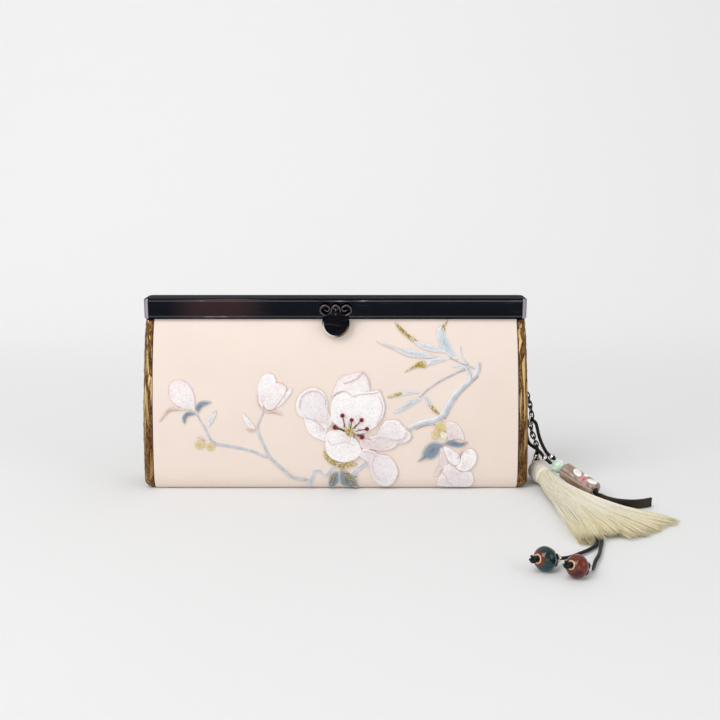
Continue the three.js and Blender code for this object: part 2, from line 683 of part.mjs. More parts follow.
function crimp(route, index) {
  const curve = new THREE.CatmullRomCurve3(route.map(vec), false, "centripetal");
  const share = index / (route.length - 1);
  const at = curve.getPoint(share);
  const direction = curve.getTangent(share);
  const hole = CORD.loopRadius + GAP;
  const profile = [
    [hole, 0], [CRIMP.radius * 0.9, 0], [CRIMP.radius + CRIMP.bulge, CRIMP.length / 2],
    [CRIMP.radius * 0.9, CRIMP.length], [hole, CRIMP.length], [hole, 0],
  ];
  return turned(profile, at.addScaledVector(direction, -CRIMP.length / 2).toArray(), direction.toArray(), 12);
}

function tubeBead() {
  const { radius, bore, edge } = TUBE;
  const length = vec(TUBE_START_AT).distanceTo(vec(TUBE_END_AT));
  const profile = [
    [bore, 0], [radius - edge, 0], [radius, edge], [radius * 1.03, length / 2], [radius, length - edge],
    [radius - edge, length], [bore, length], [bore, 0],
  ];
  const body = turned(profile, TUBE_END_AT, stringAxis.toArray(), 16);
  const up = new THREE.Vector3(-0.35, -0.6, 0.72);
  up.addScaledVector(stringAxis, -up.dot(stringAxis)).normalize();
  const side = stringAxis.clone().cross(up);
  const outAt = (turn) => up.clone().applyAxisAngle(stringAxis, -turn);
  const onTube = (along, turn) =>
    vec(TUBE_END_AT).addScaledVector(stringAxis, along * length).addScaledVector(outAt(turn), radius);
  const petals = PETALS.map(({ along, turn, heading, size }) => {
    const normal = outAt(turn);
    const long = stringAxis.clone().multiplyScalar(Math.cos(heading)).addScaledVector(side, Math.sin(heading));
    long.addScaledVector(normal, -long.dot(normal)).normalize();
    const geometry = new THREE.SphereGeometry(1, 8, 6);
    geometry.scale(size * PETAL.halfLength, size * PETAL.halfWidth, PETAL.height);
    const frame = new THREE.Matrix4().makeBasis(long, normal.clone().cross(long), normal);
    return solid(geometry.applyMatrix4(frame.setPosition(onTube(along, turn))));
  });
  const heartAt = onTube(HEART.along, HEART.turn).toArray();
  const heart = ball(PETAL.heartRadius, heartAt, up.toArray(), PETAL.heartFlatness, 8);
  return cut(join(body, ...petals, heart), bar(bore, TUBE_END_AT, TUBE_START_AT, 16));
}

function leatherStrap() {
  const path = new THREE.CatmullRomCurve3(STRAP_ROUTE.map(vec), false, "centripetal");
  const steps = 12;
  const rings = [];
  for (let i = 0; i <= steps; i++) {
    const share = i / steps;
    const point = path.getPointAt(share);
    const along = path.getTangentAt(share);
    const across = new THREE.Vector3(-along.y, along.x, 0).normalize();
    const grown = Math.min(1, 0.5 + 3 * share);
    const [h, t] = [(STRAP.width / 2) * grown, STRAP.thickness / 2];
    const corner = (a, b) => point.clone().addScaledVector(across, a * t).add(new THREE.Vector3(0, 0, b * h));
    rings.push([corner(-1, -1), corner(1, -1), corner(1, 1), corner(-1, 1)]);
  }
  const coreStart = alongString(GAP + 2 * MINT.radius - OVERRUN);
  const coreEnd = alongString(-vec(TUBE_START_AT).distanceTo(vec(TUBE_END_AT)) - OVERRUN);
  return join(loft(rings), bar(STRAP.core, coreStart, coreEnd, 8));
}

const mintBead = cut(
  ball(MINT.radius, mintCentre, stringAxis.toArray(), 1, 14),
  bar(STRAP.core + GAP, alongString(-OVERRUN), alongString(2 * MINT.radius + OVERRUN), 10),
);
place(charm, "crimp_upper", crimp(LEATHER_LOOP_ROUTE, 1), FINISH.silver);
place(charm, "crimp_lower", crimp(LEATHER_LOOP_ROUTE, LEATHER_LOOP_ROUTE.length - 2), FINISH.silver);
place(charm, "mint_bead", mintBead, FINISH.mint);
place(charm, "tube_bead", tubeBead(), FINISH.taupe);
place(charm, "leather_strap", leatherStrap(), FINISH.oliveLeather);

// Tassel: a wound head with an eye, and its fibres in locks
function tassel() {
  const tip = vec(TASSEL_TIP_AT);
  const neck = vec(TASSEL_NECK_AT);
  const heading = neck.clone().sub(tip).normalize();
  const { stub, headRadius, headLength, neckRadius, neckLength, rooted } = TASSEL;
  const profile = [
    [0, 0], [stub, 0], [stub, stub], [headRadius * 0.66, stub * 1.33], [headRadius * 0.93, headLength * 0.235],
    [headRadius, headLength * 0.412], [headRadius * 0.97, headLength * 0.647],
    [neckRadius, headLength - neckLength], [neckRadius, headLength],
    [neckRadius * 0.7, headLength + rooted], [0, headLength + rooted],
  ];
  const head = turned(profile, TASSEL_TIP_AT, heading.toArray(), 16);
  const eyeAt = tip.clone().addScaledVector(heading, -TASSEL.eyeRadius + ROOT).add(new THREE.Vector3(0, 0, ROOT));
  const eye = ring(TASSEL.eyeRadius, TASSEL.eyeWire, eyeAt.toArray(), goldTangent.toArray(), 12);
  const cordBridge = 2 * CORD.beadRadius + 3 * GAP;
  const locks = TASSEL_LOCKS.map(({ turn, reach, lift, width }) => {
    const facing = (degrees) =>
      heading.clone().applyAxisAngle(new THREE.Vector3(0, 0, 1), -THREE.MathUtils.degToRad(degrees));
    const end = neck.clone().addScaledVector(facing(turn), reach * TASSEL.fibre);
    const bend = neck.clone().addScaledVector(facing(0.35 * turn), 0.42 * reach * TASSEL.fibre);
    const path = new THREE.QuadraticBezierCurve3(neck, bend, end);
    const steps = 6;
    const rings = [];
    for (let i = 0; i <= steps; i++) {
      const share = i / steps;
      const point = path.getPoint(share);
      const along = path.getTangent(share).setZ(0).normalize();
      const across = new THREE.Vector3(-along.y, along.x, 0);
      const spread = Math.min(1, 1.5 * share) ** 0.8;
      const halfWidth = THREE.MathUtils.lerp(LOCK.rootHalfWidth, LOCK.halfWidth * width, spread);
      const halfHeight = THREE.MathUtils.lerp(LOCK.rootHalfHeight, LOCK.halfHeight, share ** 0.8);
      const raised = Math.max(lift, 1 - THREE.MathUtils.clamp(2.2 * (share - 0.25), 0, 1));
      const low = GAP + cordBridge * raised;
      const section = [];
      for (let k = 0; k < LOCK.sides; k++) {
        const angle = (k / LOCK.sides) * 2 * Math.PI;
        const corner = point.clone().addScaledVector(across, halfWidth * Math.cos(angle));
        section.push(corner.setZ(low + halfHeight * (1 + Math.sin(angle))));
      }
      rings.push(section);
    }
    return loft(rings);
  });
  return join(head, eye, ...locks);
}

place(charm, "tassel", tassel(), FINISH.cream);

// Ball beads: each has a cord through it, a knot before it, and a cap and a spacer behind it
function ballBead(name, radius, centre, axis, route, finish) {
  const front = vec(axis).normalize();
  const at = (distance) => vec(centre).addScaledVector(front, distance).toArray();
  const hole = CORD.beadRadius + GAP;
  const half = radius * BALL.flatness;
  const bore = bar(hole, at(-2 * radius), at(2 * radius), 10);
  place(charm, name + "_bead", cut(ball(radius, centre, axis, BALL.flatness, 16), bore), finish);
  const shell = ball(radius + GAP + BALL.cap, centre, axis, BALL.flatness, 12);
  const hollow = ball(radius + GAP, centre, axis, BALL.flatness, 12);
  const keep = bar(radius + OVERRUN, at(-2 * radius), at(-0.8 * half), 12);
  place(charm, name + "_cap", cut(shell.intersect(keep), hollow, bore), FINISH.chain);
  const spacerFrom = half + 2 * GAP + BALL.cap;
  const spacer = turned(
    [
      [hole, 0], [SPACER.radius * 0.8, 0], [SPACER.radius, SPACER.length / 2], [SPACER.radius * 0.8, SPACER.length],
      [hole, SPACER.length], [hole, 0],
    ],
    at(-spacerFrom - SPACER.length),
    axis,
    12,
  );
  place(charm, name + "_spacer", spacer, FINISH.silver);
  const knotAt = at(half + GAP + KNOT.flatness * KNOT.radius);
  place(charm, name + "_knot", ball(KNOT.radius, knotAt, axis, KNOT.flatness, 10), FINISH.blackLeather);
  const entry = spacerFrom + SPACER.length;
  const through = [...route, at(-entry - CORD.leadIn), at(-entry), at(-half), at(0), at(half)];
  place(charm, name + "_cord", cord(through, CORD.beadRadius, 4), FINISH.blackLeather);
}

ballBead("teal", BALL.tealRadius, TEAL_AT, TEAL_AXIS, TEAL_CORD_ROUTE, FINISH.teal);
ballBead("rust", BALL.rustRadius, RUST_AT, RUST_AXIS, RUST_CORD_ROUTE, FINISH.rust);

const embroideredPurse = new THREE.Group();
embroideredPurse.add(purse, charm);
export default embroideredPurse;
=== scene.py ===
"""Looks of an embroidered satin purse with a metal frame and a charm of beads and tassel.

Every shape is worked out in millimetres in the frame of the solids and scaled to metres when its mesh is made.
"""

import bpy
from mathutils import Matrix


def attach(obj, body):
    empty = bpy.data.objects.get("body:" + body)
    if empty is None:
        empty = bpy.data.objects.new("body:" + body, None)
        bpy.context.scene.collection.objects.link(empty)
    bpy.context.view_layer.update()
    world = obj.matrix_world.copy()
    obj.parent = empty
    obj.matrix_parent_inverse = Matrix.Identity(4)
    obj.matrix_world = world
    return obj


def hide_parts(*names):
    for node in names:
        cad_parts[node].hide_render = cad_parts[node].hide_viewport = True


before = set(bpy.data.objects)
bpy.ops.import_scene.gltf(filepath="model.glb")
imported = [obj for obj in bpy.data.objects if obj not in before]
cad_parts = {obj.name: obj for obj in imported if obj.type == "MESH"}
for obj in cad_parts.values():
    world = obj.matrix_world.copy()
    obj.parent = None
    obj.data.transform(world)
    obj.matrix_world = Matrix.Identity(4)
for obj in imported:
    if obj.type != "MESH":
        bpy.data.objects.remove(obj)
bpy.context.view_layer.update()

import logging
import math
from dataclasses import dataclass, field
from enum import Enum
from typing import Iterable, Sequence

import bmesh
import bpy
import numpy as np

Array = np.ndarray
Colour = tuple[float, float, float]
Point = Sequence[float]

LOG = logging.getLogger("purse")
MM = 0.001
TAU = 2 * math.pi
UP = np.array([0.0, 0.0, 1.0])
FORWARD = np.array([0.0, -1.0, 0.0])


def shade(red: float, green: float, blue: float) -> Colour:
    """Linear colour of a shade given as display values from 0 to 255."""
    return tuple(((c / 255 + 0.055) / 1.055) ** 2.4 if c > 10 else c / 3295 for c in (red, green, blue))


# Curves and frames


def unit(vectors: Array) -> Array:
    """Vectors divided by their lengths."""
    return vectors / np.maximum(np.linalg.norm(vectors, axis=-1, keepdims=True), 1e-12)


def smooth(value: Array) -> Array:
    """The smooth step 3v² - 2v³ of a value held between 0 and 1."""
    value = np.clip(value, 0, 1)
    return value * value * (3 - 2 * value)


def curve(points: Sequence[Point], per_span: int = 24, closed: bool = False) -> Array:
    """A smooth line through points.

    Between two points it is the cubic whose end slopes come from the neighbours, with each span's time being the
    square root of its length, so that it neither loops nor overshoots.

    Args:
        points: the points that the line passes through, in two or three dimensions.
        per_span: how many points to give between two of them.
        closed: whether the line returns to its first point.

    Returns:
        The dense points, one row each.
    """
    p = np.asarray(points, float)
    if closed:
        p = np.vstack([p[-1], p, p[0], p[1]])
    else:
        p = np.vstack([2 * p[0] - p[1], p, 2 * p[-1] - p[-2]])
    a, b, c, d = p[:-3], p[1:-2], p[2:-1], p[3:]
    t0, t1, t2 = (np.maximum(np.linalg.norm(q, axis=1, keepdims=True),
                             1e-6) ** 0.5 for q in (b - a, c - b, d - c))
    m1 = ((b - a) / t0 - (c - a) / (t0 + t1) + (c - b) / t1) * t1
    m2 = ((c - b) / t1 - (d - b) / (t1 + t2) + (d - c) / t2) * t1
    s = (np.arange(per_span) / per_span)[None, :, None]
    b, c, m1, m2 = (q[:, None, :] for q in (b, c, m1, m2))
    line = b + m1 * s + (3 * (c - b) - 2 * m1 - m2) * s**2 + (2 * (b - c) + m1 + m2) * s**3
    line = line.reshape(-1, p.shape[1])
    return line if closed else np.vstack([line, p[-2]])


def stacked(*parts: Array) -> Array:
    """Coordinates brought to one shape and stacked as the last axis."""
    return np.stack(np.broadcast_arrays(*parts), -1)


def lengths(line: Array) -> Array:
    """The length run at each point of a line."""
    return np.concatenate([[0.0], np.cumsum(np.linalg.norm(np.diff(line, axis=0), axis=1))])


def evenly(line: Array, count: int, closed: bool = False) -> Array:
    """A line resampled to count points at equal lengths along it."""
    if closed:
        line = np.vstack([line, line[0]])
    run = lengths(line)
    at = np.linspace(0, run[-1], count, endpoint=not closed)
    return np.stack([np.interp(at, run, line[:, k]) for k in range(line.shape[1])], axis=1)


def tangents(line: Array) -> Array:
    """The line's direction at each point."""
    return unit(np.gradient(line, axis=0))


def turned_to(axis: Point, about: Point = (0.0, 0.0, 1.0)) -> tuple[Array, Array, Array]:
    """Three unit vectors: the axis, and two across it, of which the first is square to the given one too."""
    along = unit(np.asarray(axis, float))
    side = np.cross(along, np.asarray(about, float))
    if np.linalg.norm(side) < 1e-3:
        side = np.cross(along, [1.0, 0.0, 0.0])
    side = unit(side)
    return along, side, np.cross(side, along)


# Grids and meshes


@dataclass
class Grid:
    """Points in rows and columns, with their place on the material and their colour."""

    points: Array
    place: Array | None = None
    tint: Array | None = None
    round_columns: bool = False
    round_rows: bool = False

    def faces(self) -> tuple[Array, Array]:
        """The corner numbers of each quad, and the place of each corner.

        Returns:
            Two arrays with four corners in each row: point numbers, and coordinates in metres.
        """
        *batch, rows, columns, _ = self.points.shape
        copies = int(np.prod(batch)) if batch else 1
        i, j = np.meshgrid(np.arange(rows if self.round_rows else rows - 1),
                           np.arange(columns if self.round_columns else columns - 1), indexing="ij")
        corners_i = np.stack([i, i + 1, i + 1, i], -1).reshape(-1, 4)
        corners_j = np.stack([j, j, j + 1, j + 1], -1).reshape(-1, 4)
        numbers = (corners_i % rows) * columns + corners_j % columns
        if self.place is None:
            place = np.stack([corners_j / columns, corners_i / rows], -1).astype(float)
        else:
            place = self.place[corners_i, corners_j]
        start = (np.arange(copies) * rows * columns)[:, None, None]
        shift = (np.arange(copies) * 0.618 % 1)[:, None, None, None] * (0.02 if copies > 1 else 0)
        return (numbers[None] + start).reshape(-1, 4), (place[None] + shift).reshape(-1, 4, 2)


def tube(line: Array, radius: float | Array, about: Point, sides: int = 12, squeeze: float = 1.0) -> Grid:
    """A round bar along a line, closed at both ends.

    A point is the line's point plus radius·(cos a·side + squeeze·sin a·rise), where side is square to the line and to
    a fixed direction; the last rings shrink to the line's end on a quarter circle.

    Args:
        line: the middle line.
        radius: one radius, or one for each point.
        about: a direction that the line never runs in.
        sides: points round the bar.
        squeeze: the bar's height as a share of its width.

    Returns:
        The bar's grid, with the place running round it and along it in metres.
    """
    radius = np.broadcast_to(np.asarray(radius, float), (len(line),))
    along = tangents(line)
    side = unit(np.cross(along, np.asarray(about, float)))
    rise = np.cross(side, along)
    cap = np.array([0.0, 0.55, 0.87])
    line = np.vstack([line[0] - along[0] * radius[0] * 0.5 * (1 - cap[:, None] ** 2), line,
                      line[-1] + along[-1] * radius[-1] * 0.5 * (1 - cap[::-1, None] ** 2)])
    radius = np.concatenate([radius[0] * cap, radius, radius[-1] * cap[::-1]])
    pad = [(3, 3), (0, 0)]
    side, rise = np.pad(side, pad, mode="edge"), np.pad(rise, pad, mode="edge")
    angle = np.arange(sides) / sides * TAU
    ring = np.cos(angle)[None, :, None] * side[:, None] + squeeze * np.sin(angle)[None, :, None] * rise[:, None]
    points = line[:, None] + radius[:, None, None] * ring
    around = np.arange(sides + 1)[None, :] / sides * TAU * float(radius.max()) * MM
    run = lengths(line)[:, None] * MM
    place = stacked(around, run)
    return Grid(points, place, round_columns=True)


def turned(profile: Sequence[Point], start: Point, axis: Point, sides: int = 40, per_span: int = 0,
           swell: Array | None = None) -> Grid:
    """A turned body: radius and height pairs carried round an axis.

    Args:
        profile: radius and height at each step, from the foot to the head.
        start: where the axis starts.
        axis: the axis.
        sides: points round the body.
        per_span: points between two steps of the profile on a smooth curve, or 0 for straight steps.
        swell: factors on the radius, one for each point round.

    Returns:
        The body's grid, with the place as shares round it and along the profile.
    """
    outline = curve(profile, per_span) if per_span else np.asarray(profile, float)
    along, side, rise = turned_to(axis)
    angle = np.arange(sides) / sides * TAU
    ring = np.cos(angle)[:, None] * side + np.sin(angle)[:, None] * rise
    if swell is not None:
        ring = ring * swell[:, None]
    radius = np.maximum(outline[:, 0], 0)
    points = np.asarray(start, float) + outline[:, 1, None, None] * along + radius[:, None, None] * ring
    run = lengths(outline)
    place = stacked(np.arange(sides + 1)[None] / sides, (run / run[-1])[:, None])
    return Grid(points, place, round_columns=True)


def torus(radius: float, wire: float, centre: Point, axis: Point, sides: int = 48,
          wire_sides: int = 12) -> Grid:
    """A ring: a circle of the wire's radius carried round a circle of the ring's radius."""
    _, side, rise = turned_to(axis)
    along = unit(np.asarray(axis, float))
    a = (np.arange(sides) / sides * TAU)[:, None, None]
    b = (np.arange(wire_sides) / wire_sides * TAU)[None, :, None]
    out = np.cos(a) * side + np.sin(a) * rise
    points = np.asarray(centre, float) + (radius + wire * np.cos(b)) * out + wire * np.sin(b) * along
    return Grid(points, round_columns=True, round_rows=True)


def walled(points: Array, thickness: float, place: Array) -> list[Grid]:
    """A cloth of even thickness behind a sheet of points.

    The inner sheet is the outer one moved back along its normal, which is the cross product of the steps to the
    neighbours, and four strips join their edges.

    Args:
        points: the outer sheet, in rows and columns.
        thickness: the wall.
        place: the place of each point on the material.

    Returns:
        The grids that close the wall.
    """
    inner = points - thickness * unit(np.cross(np.gradient(points, axis=0), np.gradient(points, axis=1)))
    strips = [Grid(points, place), Grid(inner[::-1], place[::-1])]
    for pick in (np.s_[0], np.s_[-1], np.s_[:, 0], np.s_[:, -1]):
        strips.append(Grid(np.stack([points[pick], inner[pick]]), np.stack([place[pick]] * 2)))
    return strips


def mesh_object(name: str, grids: Iterable[Grid], material: bpy.types.Material,
                merge: float = 1e-3) -> bpy.types.Object:
    """One object from grids, with its place in its mesh, doubles merged and faces outward.

    Args:
        name: the object's name.
        grids: the grids, in millimetres.
        material: what it is made of.
        merge: how near two points count as one, in millimetres.

    Returns:
        The object, linked to the scene.
    """
    points, faces, places, tints, start = [], [], [], [], 0
    for grid in grids:
        numbers, place = grid.faces()
        flat = grid.points.reshape(-1, 3)
        points.append(flat * MM)
        faces.append(numbers + start)
        places.append(place.reshape(-1, 2))
        tints.append(np.ones((len(flat), 4)) if grid.tint is None else grid.tint.reshape(-1, 4))
        start += len(flat)
    vertices, quads = np.vstack(points), np.vstack(faces)
    mesh = bpy.data.meshes.new(name)
    mesh.vertices.add(len(vertices))
    mesh.vertices.foreach_set("co", vertices.astype(np.float32).ravel())
    mesh.loops.add(quads.size)
    mesh.loops.foreach_set("vertex_index", quads.astype(np.int32).ravel())
    mesh.polygons.add(len(quads))
    mesh.polygons.foreach_set("loop_start", np.arange(0, quads.size, 4, dtype=np.int32))
    mesh.update(calc_edges=True)
    mesh.uv_layers.new(name="place").data.foreach_set("uv", np.vstack(places).astype(np.float32).ravel())
    tint = mesh.attributes.new("tint", "FLOAT_COLOR", "POINT")
    tint.data.foreach_set("color", np.vstack(tints).astype(np.float32).ravel())
    shaped = bmesh.new()
    shaped.from_mesh(mesh)
    bmesh.ops.remove_doubles(shaped, verts=shaped.verts, dist=merge * MM)
    bmesh.ops.recalc_face_normals(shaped, faces=shaped.faces)
    shaped.to_mesh(mesh)
    shaped.free()
    mesh.polygons.foreach_set("use_smooth", np.ones(len(mesh.polygons), bool))
    mesh.materials.append(material)
    made = bpy.data.objects.new(name, mesh)
    bpy.context.scene.collection.objects.link(made)
    return made


def piece(name: str, grids: Iterable[Grid], material: bpy.types.Material,
          nodes: Sequence[str] = (),
          body: str = "purse") -> bpy.types.Object:
    """A finished piece that rides on a body of the solids.

    Args:
        name: the piece's name.
        grids: its grids, in millimetres.
        material: what it is made of.
        nodes: the solids that it stands for.
        body: the body that it moves with.

    Returns:
        The piece.
    """
    made = mesh_object(name, grids, material)
    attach(made, body)
    if nodes:
        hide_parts(*nodes)
    LOG.info("%s: %d faces on %s", name, len(made.data.polygons), body)
    return made


def keep_solid(node: str, material: bpy.types.Material, split: float = 50.0) -> None:
    """Shows a solid as it is, in its finish, with its curved faces shaded smooth and its edges sharp."""
    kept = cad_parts[node]
    kept.data.materials.clear()
    kept.data.materials.append(material)
    kept.data.polygons.foreach_set("use_smooth", np.ones(len(kept.data.polygons), bool))
    kept.modifiers.new("weld", "WELD").merge_threshold = 1e-6
    sharp = kept.modifiers.new("sharp edges", "EDGE_SPLIT")
    sharp.split_angle = math.radians(split)
    even = kept.modifiers.new("even shading", "WEIGHTED_NORMAL")
    even.keep_sharp = True
    LOG.info("%s: solid kept", node)


# Shader nodes


class Shader:
    """A node tree with short calls to add nodes and join their sockets."""

    def __init__(self, tree: bpy.types.NodeTree) -> None:
        """Keeps the tree that the nodes go into."""
        self.tree = tree

    def node(self, kind: str, inputs: dict | None = None, **settings: object) -> bpy.types.Node:
        """A new node.

        Args:
            kind: the node's type, without the words that every type starts with.
            inputs: socket names or numbers, each with a value or a socket to join.
            settings: the node's own properties.

        Returns:
            The node.
        """
        made = self.tree.nodes.new("ShaderNode" + kind)
        for name, value in settings.items():
            setattr(made, name, value)
        for name, value in (inputs or {}).items():
            socket = made.inputs[name]
            if isinstance(value, bpy.types.NodeSocket):
                self.tree.links.new(value, socket)
            elif isinstance(value, tuple) and len(value) == 3 and socket.type == "RGBA":
                socket.default_value = (*value, 1.0)
            else:
                socket.default_value = value
        return made

    def math(self, operation: str, *values: object) -> bpy.types.NodeSocket:
        """The result of a Math node on values or sockets."""
        return self.node("Math", dict(enumerate(values)), operation=operation).outputs[0]

    def times(self, first: object, second: object) -> bpy.types.NodeSocket:
        """The product of two values or sockets."""
        return self.math("MULTIPLY", first, second)

    def plus(self, first: object, second: object) -> bpy.types.NodeSocket:
        """The sum of two values or sockets."""
        return self.math("ADD", first, second)

    def minus(self, first: object, second: object) -> bpy.types.NodeSocket:
        """The first of two values or sockets less the second."""
        return self.math("SUBTRACT", first, second)

    def noise(self, place: bpy.types.NodeSocket, scale: object, detail: float) -> bpy.types.NodeSocket:
        """The value of a noise at a place."""
        return self.node("TexNoise", {"Vector": place, "Scale": scale, "Detail": detail}).outputs["Fac"]

    def mix(self, factor: object, first: object, second: object, blend: str = "MIX") -> bpy.types.NodeSocket:
        """The colour between two, or blended by a way of mixing."""
        made = self.node("Mix", data_type="RGBA", blend_type=blend)
        for name, value in (("Factor_Float", factor), ("A_Color", first), ("B_Color", second)):
            socket = next(s for s in made.inputs if s.identifier == name)
            if isinstance(value, bpy.types.NodeSocket):
                self.tree.links.new(value, socket)
            else:
                socket.default_value = (*value, 1.0) if isinstance(value, tuple) else value
        return next(s for s in made.outputs if s.identifier == "Result_Color")

    def stretch(self, value: object, low: float, high: float, to_low: float = 0.0, to_high: float = 1.0):
        """A value moved smoothly from one range to another."""
        inputs = {"Value": value, "From Min": low, "From Max": high, "To Min": to_low, "To Max": to_high}
        return self.node("MapRange", inputs, interpolation_type="SMOOTHSTEP").outputs[0]


def group(name: str, inputs: dict[str, object],
          outputs: dict[str, str]) -> tuple[Shader, bpy.types.Node, bpy.types.Node]:
    """A new node group with named sockets.

    Args:
        name: the group's name.
        inputs: each input with its first value, or the word vector.
        outputs: each output with its kind, float or colour.

    Returns:
        The shader to build it with, its input node and its output node.
    """
    tree = bpy.data.node_groups.new(name, "ShaderNodeTree")
    kinds = {"float": "NodeSocketFloat", "colour": "NodeSocketColor"}
    for socket, value in inputs.items():
        kind = "NodeSocketVector" if value == "vector" else "NodeSocketFloat"
        made = tree.interface.new_socket(socket, in_out="INPUT", socket_type=kind)
        if value != "vector":
            made.default_value = value
    for socket, kind in outputs.items():
        tree.interface.new_socket(socket, in_out="OUTPUT", socket_type=kinds[kind])
    shader = Shader(tree)
    return shader, tree.nodes.new("NodeGroupInput"), tree.nodes.new("NodeGroupOutput")


def join_outputs(shader: Shader, out: bpy.types.Node, **sockets: bpy.types.NodeSocket) -> bpy.types.NodeTree:
    """Joins a group's results to its output node and gives back the group."""
    for name, socket in sockets.items():
        shader.tree.links.new(socket, out.inputs[name])
    return shader.tree


def thread_lay() -> bpy.types.NodeTree:
    """Threads side by side: ridges across the place's first axis, broken by noise drawn out along the second.

    Height is the absolute sine of the first coordinate over the spacing, and Tone follows it with a slow drift, so that
    the colour it gives is lighter on each thread and darker between them as painted shade.
    """
    s, given, out = group("thread lay", {"Place": "vector", "Spacing": 0.0004, "Break": 0.3},
                          {"Height": "float", "Tone": "float"})
    parts = s.node("SeparateXYZ", {0: given.outputs["Place"]})
    drawn = s.node("CombineXYZ", {0: s.times(parts.outputs[0], 2600.0),
                                  1: s.times(parts.outputs[1], 260.0)})
    noise = s.noise(drawn.outputs[0], 1.0, 2.0)
    bent = s.times(s.minus(noise, 0.5), s.times(given.outputs["Break"], 4.0))
    turns = s.plus(s.math("DIVIDE", parts.outputs[0], given.outputs["Spacing"]), bent)
    ridge = s.math("ABSOLUTE", s.math("SINE", s.times(turns, math.pi)))
    slow = s.noise(given.outputs["Place"], 420.0, 3.0)
    # Tone: painted shade between the threads, plus a slow drift that differs at random
    tone = s.plus(s.times(ridge, 0.35), s.stretch(slow, 0.3, 0.7, 0.2, 0.65))
    return join_outputs(s, out, Height=ridge, Tone=tone)


def fine_weave() -> bpy.types.NodeTree:
    """A plain weave: the product of a sine along each of two axes, one thread apart, with a soft drift of tone."""
    s, given, out = group("fine weave", {"Place": "vector", "Pitch": 0.0005},
                          {"Height": "float", "Tone": "float"})
    parts = s.node("SeparateXYZ", {0: given.outputs["Place"]})
    waves = [s.math("SINE", s.times(s.math("DIVIDE", parts.outputs[k], given.outputs["Pitch"]), TAU))
             for k in (0, 1)]
    height = s.math("MULTIPLY_ADD", s.times(waves[0], waves[1]), 0.5, 0.5)
    drift = s.noise(given.outputs["Place"], 35.0, 4.0)
    slub = s.node("CombineXYZ", {0: s.times(parts.outputs[0], 60.0),
                                 1: s.times(parts.outputs[1], 1400.0)})
    slubs = s.noise(slub.outputs[0], 1.0, 2.0)
    tone = s.plus(s.times(drift, 0.7), s.times(slubs, 0.3))
    return join_outputs(s, out, Height=height, Tone=tone)


def hide_grain() -> bpy.types.NodeTree:
    """Leather: cells whose edges are creases, with pores between them and a slow drift of tone."""
    s, given, out = group("hide grain", {"Place": "vector", "Cells": 900.0, "Crease": 0.5},
                          {"Height": "float", "Creases": "float", "Tone": "float"})
    bend = s.node("TexNoise", {"Vector": given.outputs["Place"], "Scale": 240.0, "Detail": 3.0})
    shift = s.node("VectorMath", {0: bend.outputs["Color"], 3: 0.003}, operation="SCALE")
    moved = s.node("VectorMath", {0: given.outputs["Place"], 1: shift.outputs[0]}, operation="ADD")
    cells = s.node("TexVoronoi", {"Vector": moved.outputs[0], "Scale": given.outputs["Cells"]},
                   feature="DISTANCE_TO_EDGE").outputs["Distance"]
    crease = s.stretch(cells, 0.0, 0.12, 1.0, 0.0)
    pores = s.noise(given.outputs["Place"], 2600.0, 2.0)
    height = s.minus(s.times(pores, 0.3), s.times(crease, given.outputs["Crease"]))
    drift = s.noise(given.outputs["Place"], 60.0, 4.0)
    return join_outputs(s, out, Height=height, Creases=crease, Tone=s.stretch(drift, 0.3, 0.7))


def handling_wear() -> bpy.types.NodeTree:
    """Wear from handling: fine scratches drawn out along X and soft smears, as a mask from 0 to 1."""
    s, given, out = group("handling wear", {"Place": "vector", "Amount": 0.5},
                          {"Mask": "float", "Smear": "float"})
    parts = s.node("SeparateXYZ", {0: given.outputs["Place"]})
    drawn = s.node("CombineXYZ", {0: s.times(parts.outputs[0], 90.0),
                                  1: s.times(parts.outputs[1], 1700.0),
                                  2: s.times(parts.outputs[2], 1700.0)})
    lines = s.noise(drawn.outputs[0], 1.0, 3.0)
    smear = s.noise(given.outputs["Place"], 55.0, 5.0)
    soft = s.stretch(smear, 0.4, 0.7)
    mask = s.times(s.stretch(lines, 0.56, 0.72), s.times(soft, given.outputs["Amount"]))
    return join_outputs(s, out, Mask=mask, Smear=soft)


def painted_edge_highlights() -> bpy.types.NodeTree:
    """The bar's painted highlights: broken lines a little inside its upper and lower edges, and its end corners.

    A line is the nearness to its height, held to 0.3 mm, times noise drawn out along X; a corner is where both the
    distance along X and the distance across Y are near their ends.
    """
    s, given, out = group("painted edge highlights", {"Place": "vector", "Upper": 0.0989, "Lower": 0.0909, "End": 0.0954,
                                           "Side": 0.0055}, {"Lines": "float", "Corners": "float"})
    x, y, z = s.node("SeparateXYZ", {0: given.outputs["Place"]}).outputs
    broken = s.node("TexNoise", {"Vector": s.node("CombineXYZ", {0: s.times(x, 42.0), 2: s.times(z, 300.0)})
                                 .outputs[0], "Scale": 1.0, "Detail": 4.0}).outputs["Fac"]
    near = [s.stretch(s.math("ABSOLUTE", s.minus(z, given.outputs[name])), 0.0001, 0.00045, 1.0, 0.0)
            for name in ("Upper", "Lower")]
    share = s.plus(s.times(s.stretch(broken, 0.55, 0.68), 0.75), 0.1)
    lines = s.times(s.math("MAXIMUM", *near), share)
    end = s.minus(s.math("ABSOLUTE", x), given.outputs["End"])
    side = s.minus(s.math("ABSOLUTE", y), given.outputs["Side"])
    corners = s.times(s.stretch(end, 0.0, 0.0006), s.stretch(side, 0.0, 0.0006))
    return join_outputs(s, out, Lines=lines, Corners=s.times(corners, 0.9))


